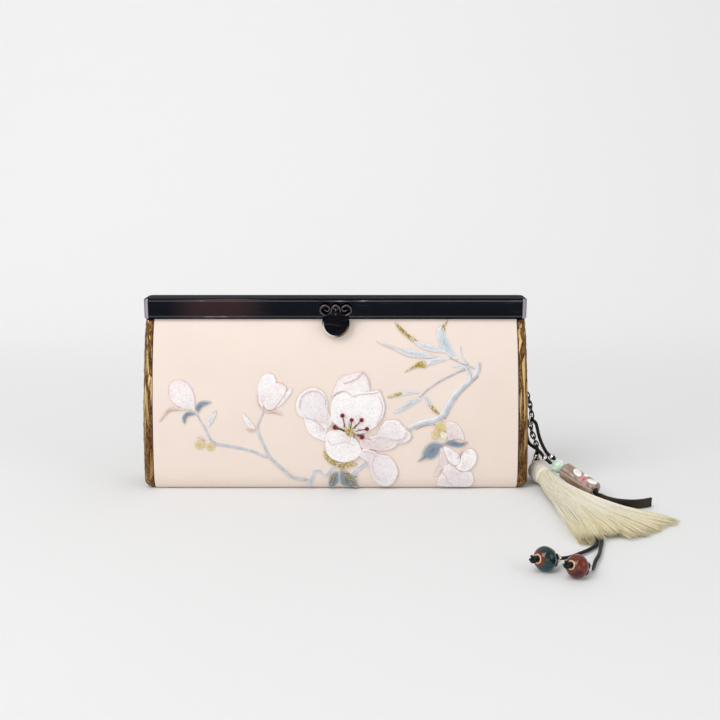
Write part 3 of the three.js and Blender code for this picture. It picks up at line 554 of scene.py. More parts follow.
def crinkled_foil() -> bpy.types.NodeTree:
    """Metallic leather crushed into upright folds.

    Noise drawn out along Z gives the folds: its level lines are the creases, which carry painted shade, and its crests
    the streaks of painted highlight; a finer noise gives the crackle between them.
    """
    s, given, out = group("crinkled foil", {"Place": "vector"},
                          {"Height": "float", "Streaks": "float", "Creases": "float", "Tone": "float"})
    drawn = s.node("Mapping", {"Vector": given.outputs["Place"], "Scale": (1.0, 1.0, 0.06)}).outputs[0]
    folds = s.node("TexNoise", {"Vector": drawn, "Scale": 640.0, "Detail": 4.0,
                                "Distortion": 0.5}).outputs["Fac"]
    level = s.math("ABSOLUTE", s.minus(folds, 0.48))
    crease = s.stretch(level, 0.0, 0.035, 1.0, 0.0)
    fine = s.node("Mapping", {"Vector": given.outputs["Place"], "Scale": (1.0, 1.0, 0.4)}).outputs[0]
    crackle = s.noise(fine, 1700.0, 4.0)
    height = s.minus(s.math("MULTIPLY_ADD", crackle, 0.35, folds), s.times(crease, 0.4))
    return join_outputs(s, out, Height=height, Streaks=s.stretch(folds, 0.52, 0.62), Creases=crease,
                        Tone=s.stretch(crackle, 0.35, 0.65))


def kiln_spots() -> bpy.types.NodeTree:
    """Pooled glaze: large soft patches, and specks where small cells fall under a threshold."""
    s, given, out = group("kiln spots", {"Place": "vector", "Size": 180.0},
                          {"Pools": "float", "Specks": "float"})
    pools = s.node("TexNoise", {"Vector": given.outputs["Place"], "Scale": given.outputs["Size"],
                                "Detail": 3.0,
                                "Distortion": 0.8}).outputs["Fac"]
    cells = s.node("TexVoronoi", {"Vector": given.outputs["Place"],
                                  "Scale": s.times(given.outputs["Size"], 6.0)}).outputs["Distance"]
    return join_outputs(s, out, Pools=s.stretch(pools, 0.42, 0.62),
                        Specks=s.stretch(cells, 0.12, 0.34, 1.0, 0.0))


@dataclass(frozen=True)
class Look:
    """What a surface is like where it is the same all over: the shader's own values."""

    roughness: float = 0.5
    metallic: float = 0.0
    coat: float = 0.0
    sheen: float = 0.0
    specular: float = 0.5
    subsurface: float = 0.0
    sheen_tint: Colour = (1.0, 1.0, 1.0)
    edge_tint: Colour = (1.0, 1.0, 1.0)


class Finishes:
    """Every material of the purse, each built once."""

    def __init__(self) -> None:
        """Builds the shared groups, then the materials."""
        self.groups = {tree.name: tree for tree in
                       (thread_lay(), fine_weave(), hide_grain(), crinkled_foil(), handling_wear(),
                        painted_edge_highlights(),
                        kiln_spots())}
        self.black_nickel = self._black_nickel()
        self.cast_nickel = self._cast_nickel()
        self.satin = self._satin()
        self.bronze = self._bronze()
        self.silk = self._silk()
        self.dark_steel = self._metal("dark steel", shade(74, 70, 66), shade(30, 28, 27), 0.3)
        self.silver = self._metal("silver", shade(226, 226, 222), shade(150, 150, 148), 0.16)
        self.gold = self._metal("gold", shade(228, 200, 150), shade(176, 142, 92), 0.3)
        self.cord_leather = self._leather("cord leather", shade(17, 16, 16), shade(8, 8, 8), 1500.0, 0.5)
        self.strap_leather = self._leather("strap leather", shade(54, 44, 26), shade(24, 18, 10), 1100.0,
                                           0.42)
        self.mint = self._mint()
        self.clay = self._clay()
        self.teal = self._ball("teal glaze", shade(10, 34, 30), shade(3, 9, 9), shade(8, 62, 72))
        self.rust = self._ball("rust glaze", shade(66, 13, 6), shade(20, 5, 3), shade(104, 34, 10))
        self.fibre = self._fibre()
        self.crystal = self._crystal()

    def _start(self, name: str, look: Look) -> tuple[Shader, bpy.types.Node, bpy.types.Material]:
        """A material with its shader set.

        Args:
            name: the material's name.
            look: the shader's own values.

        Returns:
            The shader tree, its surface node and the material.
        """
        material = bpy.data.materials.new(name)
        material.use_nodes = True
        material.node_tree.nodes.clear()
        s = Shader(material.node_tree)
        surface = s.node("BsdfPrincipled", {
            "Roughness": look.roughness, "Metallic": look.metallic, "Coat Weight": look.coat,
            "Coat Roughness": 0.04, "Sheen Weight": look.sheen, "Sheen Roughness": 0.35,
            "Sheen Tint": look.sheen_tint, "Specular IOR Level": look.specular,
            "Subsurface Weight": look.subsurface, "Subsurface Scale": 0.002,
            "Specular Tint": look.edge_tint,
        })
        end = s.tree.nodes.new("ShaderNodeOutputMaterial")
        s.tree.links.new(surface.outputs[0], end.inputs["Surface"])
        return s, surface, material

    def _use(self, s: Shader, name: str, **inputs: object) -> bpy.types.Node:
        """A shared group placed in a material, with its own values."""
        made = s.tree.nodes.new("ShaderNodeGroup")
        made.node_tree = self.groups[name]
        for socket, value in inputs.items():
            if isinstance(value, bpy.types.NodeSocket):
                s.tree.links.new(value, made.inputs[socket])
            else:
                made.inputs[socket].default_value = value
        return made

    @staticmethod
    def _where(s: Shader) -> bpy.types.NodeSocket:
        """Coordinates of the object, in metres."""
        return s.node("TexCoord").outputs["Object"]

    @staticmethod
    def _on_piece(s: Shader) -> bpy.types.NodeSocket:
        """The piece's own place map."""
        return s.node("UVMap", uv_map="place").outputs["UV"]

    @staticmethod
    def _finish(s: Shader, surface: bpy.types.Node, colour: bpy.types.NodeSocket, height: object = None,
                depth: float = 0.0001, strength: float = 0.5, roughness: object = None) -> None:
        """Joins colour, relief and roughness to the surface.

        Args:
            s: the material's shader.
            surface: its surface node.
            colour: what feeds the base colour.
            height: what the relief is read from.
            depth: the relief's depth in metres.
            strength: how strongly it shows.
            roughness: what feeds the roughness.
        """
        s.tree.links.new(colour, surface.inputs["Base Color"])
        if height is not None:
            bump = s.node("Bump", {"Height": height, "Distance": depth, "Strength": strength})
            s.tree.links.new(bump.outputs[0], surface.inputs["Normal"])
        if roughness is not None:
            s.tree.links.new(roughness, surface.inputs["Roughness"])

    def _black_nickel(self) -> bpy.types.Material:
        """Polished black nickel with fine handling wear, a painted plum reflection at the left, and painted highlight
        lines by its edges and at its corners.
        """
        s, surface, material = self._start("black nickel", Look(0.1, 1.0, edge_tint=(0.06, 0.06, 0.08)))
        place = self._where(s)
        wear = self._use(s, "handling wear", Place=place, Amount=0.2)
        edge_highlights = self._use(s, "painted edge highlights", Place=place)
        across = s.node("SeparateXYZ", {0: place}).outputs[0]
        # painted reflection: a plum tint over the bar's left part
        plum_reflection = s.times(s.stretch(across, -0.088, -0.068), s.stretch(across, -0.052, -0.03, 1.0, 0.0))
        colour = s.mix(s.times(plum_reflection, 0.85), shade(22, 25, 30), shade(60, 44, 46))
        colour = s.mix(wear.outputs["Mask"], colour, shade(74, 72, 78))
        # painted highlights: pale broken lines along the bevels and pale end corners
        colour = s.mix(edge_highlights.outputs["Lines"], colour, shade(206, 204, 214))
        colour = s.mix(edge_highlights.outputs["Corners"], colour, shade(186, 176, 192))
        rough = s.stretch(wear.outputs["Smear"], 0.0, 1.0, 0.07, 0.13)
        self._finish(s, surface, colour, wear.outputs["Smear"], 0.00002, 0.05, rough)
        return material

    def _cast_nickel(self) -> bpy.types.Material:
        """The press lever's cast black nickel, in the colours that the piece carries, painted rim reflections among
        them, with fine wear.
        """
        s, surface, material = self._start("cast black nickel", Look(0.12, 1.0, edge_tint=(0.4, 0.4, 0.42)))
        tint = s.node("Attribute", attribute_name="tint", attribute_type="GEOMETRY")
        wear = self._use(s, "handling wear", Place=self._where(s), Amount=0.4)
        colour = s.mix(wear.outputs["Mask"], tint.outputs["Color"], shade(90, 86, 88))
        rough = s.stretch(wear.outputs["Smear"], 0.0, 1.0, 0.09, 0.2)
        self._finish(s, surface, colour, wear.outputs["Smear"], 0.00003, 0.1, rough)
        return material

    def _satin(self) -> bpy.types.Material:
        """Peach satin: a close weave, slubs and a soft drift of colour."""
        s, surface, material = self._start("satin", Look(0.46, sheen=0.25, specular=0.35,
                                                         sheen_tint=shade(255, 240, 226)))
        weave = self._use(s, "fine weave", Place=self._on_piece(s), Pitch=0.0007)
        colour = s.mix(weave.outputs["Tone"], shade(228, 211, 200), shade(240, 225, 214))
        rough = s.stretch(weave.outputs["Tone"], 0.2, 0.8, 0.4, 0.52)
        self._finish(s, surface, colour, weave.outputs["Height"], 0.00005, 0.22, rough)
        return material

    def _bronze(self) -> bpy.types.Material:
        """Crinkled bronze leather: painted gold highlights on its folds, painted shade in its creases, and plainer
        brown towards the base, where the painted highlights fade.
        """
        s, surface, material = self._start("bronze leather", Look(0.3, 0.75))
        place = self._where(s)
        foil = self._use(s, "crinkled foil", Place=place)
        parts = s.node("SeparateXYZ", {0: place}).outputs
        fold = s.stretch(s.math("ABSOLUTE", parts[1], 0.0), 0.003, 0.014, 0.3, 1.0)
        # where the painted highlights show: fading towards the base and towards the middle of the side
        high = s.times(s.stretch(parts[2], 0.015, 0.065, 0.25, 1.0), fold)
        colour = s.mix(foil.outputs["Tone"], shade(78, 48, 24), shade(150, 108, 62))
        colour = s.mix(s.times(foil.outputs["Streaks"], high), colour, shade(240, 208, 140))
        # painted shade in the creases
        colour = s.mix(s.times(foil.outputs["Creases"], s.times(fold, 0.8)), colour, shade(44, 24, 12))
        rough = s.stretch(foil.outputs["Streaks"], 0.0, 1.0, 0.42, 0.24)
        self._finish(s, surface, colour, foil.outputs["Height"], 0.0005, 0.6, rough)
        return material

    def _silk(self) -> bpy.types.Material:
        """Embroidery silk in the colours that the pieces carry, painted shadow at the motifs' feet among them, darker
        between its threads as painted shade, with metal thread where the colour's fourth value is high.
        """
        s, surface, material = self._start("silk thread", Look(0.4, sheen=0.3, specular=0.4))
        tint = s.node("Attribute", attribute_name="tint", attribute_type="GEOMETRY")
        lay = self._use(s, "thread lay", Place=self._on_piece(s), Spacing=0.00085, Break=0.45)
        stitch = s.noise(self._where(s), 1150.0, 3.0)
        speck = s.stretch(stitch, 0.48, 0.62)
        dark = s.mix(1.0, tint.outputs["Color"], shade(247, 243, 244), "MULTIPLY")
        deep = s.mix(1.0, tint.outputs["Color"], shade(218, 208, 211), "MULTIPLY")
        # darker between the threads from the thread lay: painted shade
        colour = s.mix(lay.outputs["Tone"], dark, tint.outputs["Color"])
        colour = s.mix(s.times(speck, 0.36), colour, deep)
        colour = s.mix(s.times(s.times(speck, tint.outputs["Alpha"]), 0.8), colour, shade(246, 240, 222))
        height = s.plus(lay.outputs["Height"], s.times(speck, 0.6))
        self._finish(s, surface, colour, height, 0.00014, 0.55)
        s.tree.links.new(s.times(tint.outputs["Alpha"], 0.5), surface.inputs["Metallic"])
        return material

    def _metal(self, name: str, high: Colour, low: Colour, roughness: float) -> bpy.types.Material:
        """A small metal fitting, darker where hands don't rub it.

        Args:
            name: the material's name.
            high: its rubbed colour.
            low: its colour where it has darkened.
            roughness: how matt it is.

        Returns:
            The material.
        """
        s, surface, material = self._start(name, Look(roughness, 1.0))
        wear = self._use(s, "handling wear", Place=self._where(s), Amount=0.7)
        spots = self._use(s, "kiln spots", Place=self._where(s), Size=420.0)
        colour = s.mix(s.times(spots.outputs["Pools"], 0.45), high, low)
        colour = s.mix(wear.outputs["Mask"], colour, high)
        rough = s.stretch(wear.outputs["Smear"], 0.0, 1.0, roughness * 0.8, roughness * 1.4)
        self._finish(s, surface, colour, spots.outputs["Pools"], 0.00004, 0.15, rough)
        return material

    def _leather(self, name: str, high: Colour, low: Colour, cells: float,
                 roughness: float) -> bpy.types.Material:
        """Oiled leather with its grain, darker in the creases.

        Args:
            name: the material's name.
            high: its colour on the grain.
            low: its colour in the creases.
            cells: grain cells in a metre.
            roughness: how matt it is.

        Returns:
            The material.
        """
        s, surface, material = self._start(name, Look(roughness, specular=0.3))
        grain = self._use(s, "hide grain", Place=self._where(s), Cells=cells, Crease=0.6)
        colour = s.mix(grain.outputs["Creases"], s.mix(grain.outputs["Tone"], low, high), low)
        rough = s.stretch(grain.outputs["Tone"], 0.0, 1.0, roughness * 0.8, roughness * 1.25)
        self._finish(s, surface, colour, grain.outputs["Height"], 0.00018, 0.5, rough)
        return material

    def _mint(self) -> bpy.types.Material:
        """Pale green stone with clouds under a polish."""
        s, surface, material = self._start("mint stone", Look(0.12, coat=0.6, subsurface=0.4))
        spots = self._use(s, "kiln spots", Place=self._where(s), Size=260.0)
        colour = s.mix(spots.outputs["Pools"], shade(196, 220, 200), shade(226, 238, 226))
        self._finish(s, surface, s.mix(s.times(spots.outputs["Specks"], 0.2), colour, shade(150, 178, 156)))
        return material

    def _clay(self) -> bpy.types.Material:
        """Glazed clay: taupe streaks along the bead, a rust patch at its head, and its own colours on the blossom."""
        s, surface, material = self._start("clay", Look(0.28, coat=0.45))
        tint = s.node("Attribute", attribute_name="tint", attribute_type="GEOMETRY")
        place = self._on_piece(s)
        drawn = s.node("Mapping", {"Vector": place, "Scale": (26.0, 2.2, 1.0)}).outputs[0]
        streaks = s.noise(drawn, 1.0, 5.0)
        spots = self._use(s, "kiln spots", Place=self._where(s), Size=240.0)
        dark = s.mix(1.0, tint.outputs["Color"], shade(176, 158, 146), "MULTIPLY")
        streaky = s.times(s.stretch(streaks, 0.62, 0.35), tint.outputs["Alpha"])
        colour = s.mix(streaky, tint.outputs["Color"], dark)
        colour = s.mix(s.times(s.times(spots.outputs["Specks"], tint.outputs["Alpha"]), 0.45), colour, dark)
        self._finish(s, surface, colour, streaks, 0.0002, 0.4)
        return material

    def _ball(self, name: str, body: Colour, deep: Colour, pool: Colour) -> bpy.types.Material:
        """A kiln-glazed ball: specks and pools, an amber neck and a cream ring at its front hole.

        Args:
            name: the material's name.
            body: the glaze's main colour.
            deep: its darkest colour.
            pool: the colour of its pools.

        Returns:
            The material.
        """
        s, surface, material = self._start(name, Look(0.08, coat=0.3, specular=0.3))
        spots = self._use(s, "kiln spots", Place=self._where(s), Size=190.0)
        share = s.node("SeparateXYZ", {0: self._on_piece(s)}).outputs[1]
        colour = s.mix(spots.outputs["Pools"], body, pool)
        colour = s.mix(s.times(spots.outputs["Specks"], 0.8), colour, deep)
        amber = s.stretch(share, 0.72, 0.86)
        colour = s.mix(amber, colour, shade(104, 44, 12))
        ring = s.times(s.stretch(share, 0.885, 0.9), s.stretch(share, 0.925, 0.94, 1.0, 0.0))
        colour = s.mix(ring, colour, shade(216, 190, 158))
        self._finish(s, surface, colour, spots.outputs["Specks"], 0.00008, 0.2)
        return material

    def _fibre(self) -> bpy.types.Material:
        """Cream silk fibre in the colours that the piece carries, painted highlights on the tassel among them, with
        sheen along it and painted shade between its threads.
        """
        s, surface, material = self._start("cream fibre", Look(0.42, sheen=0.4, specular=0.4))
        tint = s.node("Attribute", attribute_name="tint", attribute_type="GEOMETRY")
        lay = self._use(s, "thread lay", Place=self._on_piece(s), Spacing=0.0005, Break=0.2)
        dark = s.mix(1.0, tint.outputs["Color"], shade(226, 216, 190), "MULTIPLY")
        # darker between the threads from the thread lay: painted shade
        colour = s.mix(lay.outputs["Tone"], dark, tint.outputs["Color"])
        self._finish(s, surface, colour, lay.outputs["Height"], 0.00008, 0.35)
        return material

    def _crystal(self) -> bpy.types.Material:
        """Small cut stones."""
        s, surface, material = self._start("cut stone", Look(0.04, coat=1.0, specular=0.9))
        spots = self._use(s, "kiln spots", Place=self._where(s), Size=500.0)
        self._finish(s, surface, s.mix(spots.outputs["Pools"], shade(236, 238, 240), shade(150, 156, 164)))
        return material


# Embroidery drawing: places on the front panel, across and up in turn, in tenths of a millimetre


@dataclass(frozen=True)
class Thread:
    """A motif's colours from its root over its body to its rim, and how much of it is metal thread."""

    root: Colour
    body: Colour
    rim: Colour
    metal: float = 0.0


class Silk(Enum):
    """The embroiderer's threads."""

    PETAL = Thread(shade(250, 238, 237), shade(255, 253, 252), shade(255, 255, 254))
    PINK = Thread(shade(252, 246, 245), shade(253, 247, 246), shade(249, 236, 238))
    MIST_PETAL = Thread(shade(249, 233, 235), shade(246, 241, 242), shade(255, 253, 252))
    ROSE = Thread(shade(245, 224, 226), shade(243, 230, 228), shade(251, 245, 243))
    MIST = Thread(shade(212, 219, 224), shade(230, 236, 240), shade(246, 248, 249))
    BLUE = Thread(shade(196, 209, 218), shade(212, 224, 231), shade(250, 252, 253))
    BRANCH = Thread(shade(190, 204, 214), shade(208, 220, 230), shade(222, 214, 212))
    LILAC = Thread(shade(186, 184, 194), shade(206, 206, 214), shade(228, 227, 231))
    SLATE = Thread(shade(122, 138, 152), shade(142, 158, 172), shade(192, 204, 212))
    TAN = Thread(shade(212, 180, 162), shade(232, 210, 196), shade(250, 243, 238))
    BERRY = Thread(shade(214, 192, 128), shade(226, 206, 146), shade(240, 226, 184), 0.35)
    CREAM = Thread(shade(246, 236, 204), shade(250, 243, 220), shade(252, 248, 236))
    GOLD = Thread(shade(164, 140, 62), shade(178, 156, 76), shade(206, 190, 122), 0.9)
    CRIMSON = Thread(shade(84, 2, 12), shade(132, 3, 18), shade(84, 3, 12))
    FOLD = Thread(shade(226, 206, 208), shade(232, 216, 217), shade(240, 228, 228))
    # the outline thread, whose colour is also the painted shadow at the foot of every motif and stroke
    OUTLINE = Thread(shade(196, 150, 126), shade(204, 162, 140), shade(204, 162, 140))


@dataclass(frozen=True)
class Patch:
    """A filled motif: its thread, its layer, the point that its stitches fan from, and its outline."""

    silk: Silk
    layer: int
    root: tuple[int, int]
    outline: tuple[int, ...]


@dataclass(frozen=True)
class Stroke:
    """A stem or line: its thread, its layer, its width at both ends, and its route."""

    silk: Silk
    layer: int
    width: tuple[float, float]
    route: tuple[int, ...]


def on_panel(tenths: Sequence[int]) -> Array:
    """Places across and up the panel in millimetres, one row each."""
    return np.reshape(tenths, (-1, 2)) / 10


PATCHES = (
    Patch(Silk.PINK, 1, (-738, 441), (-858, 529, -853, 561, -833, 583, -798, 589, -762, 575, -735, 543,
        -724, 504, -722, 464, -726, 426, -743, 434, -772, 436, -806, 449, -835, 469, -854, 496)),
    Patch(Silk.TAN, 1, (-856, 429), (-772, 434, -811, 446, -845, 451, -870, 439, -891, 409, -910, 368, -881,
        399, -856, 421, -821, 435)),
    Patch(Silk.SLATE, 2, (-705, 444), (-713, 424, -718, 444, -707, 469, -687, 481, -658, 481, -636, 474,
        -658, 469, -678, 456, -693, 439, -706, 419)),
    Patch(Silk.SLATE, 2, (-765, 406), (-719, 411, -743, 424, -768, 421, -785, 404, -791, 384, -779, 358,
        -773, 384, -758, 399, -738, 406)),
    Patch(Silk.MIST, 1, (-646, 374), (-656, 343, -661, 368, -650, 399, -630, 419, -615, 434, -615, 409,
        -626, 384, -641, 361)),
    Patch(Silk.TAN, 1, (-683, 271), (-722, 295, -697, 297, -673, 277, -671, 264, -698, 269, -718, 277)),
    Patch(Silk.BERRY, 2, (-704, 248), (-730, 248, -721, 265, -703, 271, -685, 265, -678, 248, -687, 231,
        -705, 225, -722, 231)),
    Patch(Silk.BERRY, 2, (-650, 238), (-673, 238, -665, 255, -649, 260, -632, 253, -625, 238, -634, 221,
        -650, 216, -667, 222)),
    Patch(Silk.PETAL, 1, (-373, 469), (-386, 592, -362, 619, -332, 624, -308, 607, -303, 578, -313, 548,
        -333, 529, -353, 494, -368, 459, -381, 444, -393, 474, -397, 514, -399, 553)),
    Patch(Silk.PINK, 2, (-344, 449), (-333, 563, -303, 575, -269, 570, -249, 548, -255, 519, -275, 489,
        -299, 459, -319, 439, -349, 436, -368, 459, -363, 494, -350, 529)),
    Patch(Silk.PETAL, 1, (-265, 479), (-220, 548, -230, 519, -255, 484, -280, 459, -309, 444, -285, 474,
        -260, 509, -245, 534)),
    Patch(Silk.TAN, 2, (-388, 454), (-402, 509, -393, 479, -368, 444, -378, 434, -395, 454, -402, 479)),
    Patch(Silk.TAN, 2, (-329, 423), (-369, 434, -339, 428, -310, 434, -285, 424, -273, 406, -300, 418, -334,
        418, -359, 420)),
    Patch(Silk.PETAL, 2, (-434, 348), (-477, 414, -453, 394, -429, 363, -415, 333, -439, 338, -463, 363,
        -475, 389)),
    Patch(Silk.TAN, 1, (-435, 324), (-467, 333, -439, 332, -412, 325, -422, 317, -450, 318)),
    Patch(Silk.MIST_PETAL, 2, (-40, 365), (-207, 451, -203, 482, -185, 514, -158, 538, -127, 550, -92, 547,
        -61, 527, -43, 500, -39, 469, -39, 437, -26, 401, -17, 370, -40, 337, -57, 347, -75, 370, -101, 392,
        -132, 401, -164, 395, -190, 404, -203, 424)),
    Patch(Silk.PETAL, 1, (-58, 328), (-163, 399, -132, 406, -101, 392, -71, 365, -44, 333, -47, 301, -54,
        268, -85, 275, -116, 291, -142, 314, -155, 347)),
    Patch(Silk.PINK, 1, (85, 496), (-21, 500, -8, 545, 10, 585, 32, 609, 76, 620, 120, 629, 142, 635, 162,
        611, 175, 576, 180, 538, 164, 514, 120, 500, 76, 491, 32, 491, -4, 494)),
    Patch(Silk.PETAL, 3, (80, 333), (-26, 442, -21, 478, -4, 509, 32, 532, 76, 540, 120, 538, 164, 532, 200,
        536, 231, 538, 240, 514, 253, 478, 257, 442, 249, 401, 236, 379, 213, 351, 182, 328, 142, 310, 94,
        310, 49, 328, 5, 351, -22, 383)),
    Patch(Silk.MIST_PETAL, 3, (200, 287), (209, 305, 231, 342, 253, 374, 289, 383, 324, 379, 351, 351, 378,
        324, 396, 296, 379, 268, 343, 257, 298, 255, 249, 257, 191, 273, 169, 287)),
    Patch(Silk.ROSE, 2, (147, 259), (134, 287, 178, 275, 236, 271, 276, 266, 321, 259, 316, 241, 276, 220,
        227, 217, 183, 224, 147, 222, 125, 250)),
    Patch(Silk.PETAL, 4, (71, 301), (-53, 296, -40, 319, -9, 331, 31, 328, 76, 305, 107, 278, 127, 245, 134,
        212, 116, 179, 84, 161, 49, 151, 13, 156, -23, 170, -45, 198, -56, 241)),
    Patch(Silk.MIST_PETAL, 3, (156, 203), (129, 222, 165, 224, 196, 215, 227, 198, 263, 194, 295, 170, 317,
        132, 327, 98, 318, 64, 301, 32, 265, 14, 229, 26, 201, 54, 183, 93, 174, 127, 160, 161, 134, 179,
        118, 198)),
    Patch(Silk.GOLD, 3, (22, 144), (-64, 217, -45, 189, -23, 168, 4, 156, 40, 151, 75, 163, 89, 156, 111,
        144, 84, 131, 48, 120, 17, 125, -14, 139, -41, 156, -59, 184)),
    Patch(Silk.SLATE, 2, (-10, 56), (12, 103, -10, 103, -31, 79, -40, 43, -35, 14, -17, 14, 7, 32, 17, 64)),
    Patch(Silk.SLATE, 2, (62, 54), (17, 103, 39, 113, 75, 93, 102, 64, 120, 20, 122, 14, 93, 14, 61, 14, 30,
        26, 17, 59)),
    Patch(Silk.GOLD, 5, (71, 317), (49, 324, 62, 337, 80, 337, 94, 324, 91, 305, 76, 296, 58, 303)),
    Patch(Silk.GOLD, 2, (365, 818), (303, 878, 334, 857, 365, 827, 396, 805, 416, 789, 396, 783, 365, 805,
        334, 831, 310, 861)),
    Patch(Silk.MIST, 1, (475, 753), (396, 789, 420, 783, 459, 778, 498, 762, 537, 751, 569, 728, 541, 727,
        498, 732, 459, 743, 420, 762)),
    Patch(Silk.MIST, 1, (396, 722), (208, 783, 248, 772, 291, 759, 330, 745, 373, 745, 420, 739, 459, 728,
        490, 716, 529, 707, 498, 701, 451, 701, 404, 703, 361, 712, 326, 728, 287, 747, 244, 764)),
    Patch(Silk.GOLD, 2, (551, 854), (579, 893, 563, 872, 542, 861, 540, 844, 555, 839, 563, 840, 559, 857,
        569, 872)),
    Patch(Silk.BLUE, 1, (561, 770), (526, 850, 542, 863, 553, 846, 561, 823, 576, 793, 596, 759, 612, 724,
        627, 693, 608, 693, 580, 712, 553, 739, 529, 770, 522, 805, 520, 831)),
    Patch(Silk.GOLD, 2, (424, 664), (354, 629, 381, 648, 408, 670, 428, 682, 463, 684, 463, 654, 428, 653,
        397, 648, 373, 638)),
    Patch(Silk.MIST, 1, (510, 684), (455, 684, 498, 699, 537, 705, 586, 701, 569, 689, 530, 678, 490, 668,
        455, 660)),
    Patch(Silk.MIST, 1, (635, 657), (592, 658, 624, 666, 659, 662, 665, 652, 628, 650)),
    Patch(Silk.GOLD, 2, (311, 511), (266, 500, 295, 514, 327, 526, 340, 526, 340, 512, 307, 504, 280, 497)),
    Patch(Silk.MIST, 1, (378, 525), (334, 526, 374, 535, 413, 533, 433, 524, 397, 518, 336, 512)),
    Patch(Silk.BLUE, 1, (374, 461), (296, 421, 327, 437, 354, 461, 386, 485, 421, 498, 441, 493, 417, 473,
        386, 453, 351, 433, 315, 416)),
    Patch(Silk.BLUE, 1, (472, 483), (454, 509, 468, 506, 484, 477, 494, 457, 480, 456, 460, 481)),
    Patch(Silk.GOLD, 2, (500, 443), (477, 460, 492, 462, 512, 441, 538, 409, 516, 415, 492, 439)),
    Patch(Silk.BERRY, 3, (533, 328), (516, 365, 536, 375, 562, 365, 573, 345, 563, 324, 543, 314, 534, 297,
        518, 280, 501, 283, 496, 304, 504, 321, 520, 331, 512, 348)),
    Patch(Silk.CREAM, 3, (558, 300), (543, 317, 563, 316, 577, 304, 569, 280, 550, 285, 540, 304)),
    Patch(Silk.ROSE, 2, (596, 297), (569, 368, 595, 372, 622, 362, 645, 338, 661, 304, 664, 273, 643, 282,
        617, 280, 584, 276, 577, 297, 570, 324, 563, 348)),
    Patch(Silk.SLATE, 3, (505, 218), (424, 157, 443, 176, 449, 207, 465, 239, 488, 259, 511, 266, 544, 259,
        563, 255, 545, 235, 535, 207, 519, 183, 493, 168, 466, 172, 443, 162)),
    Patch(Silk.SLATE, 3, (614, 254), (558, 256, 577, 270, 597, 278, 620, 270, 647, 259, 667, 256, 686, 264,
        673, 248, 650, 236, 614, 237, 578, 248)),
    Patch(Silk.PETAL, 4, (585, 214), (561, 242, 584, 235, 615, 214, 638, 193, 647, 169, 643, 151, 626, 136,
        600, 148, 579, 172, 569, 200, 558, 225)),
    Patch(Silk.PETAL, 4, (660, 130), (650, 186, 658, 207, 680, 225, 703, 228, 724, 214, 734, 186, 729, 158,
        716, 134, 697, 113, 667, 105, 640, 113, 625, 130, 643, 151)),
    Patch(Silk.ROSE, 2, (556, 179), (545, 235, 565, 214, 572, 179, 581, 151, 567, 130, 547, 109, 531, 87,
        508, 73, 531, 113, 540, 158, 539, 200)),
    Patch(Silk.MIST_PETAL, 2, (617, 102), (567, 134, 586, 144, 620, 123, 654, 102, 697, 105, 711, 95, 722,
        62, 720, 38, 702, 16, 639, 14, 571, 16, 530, 25, 535, 62, 551, 98)),
)

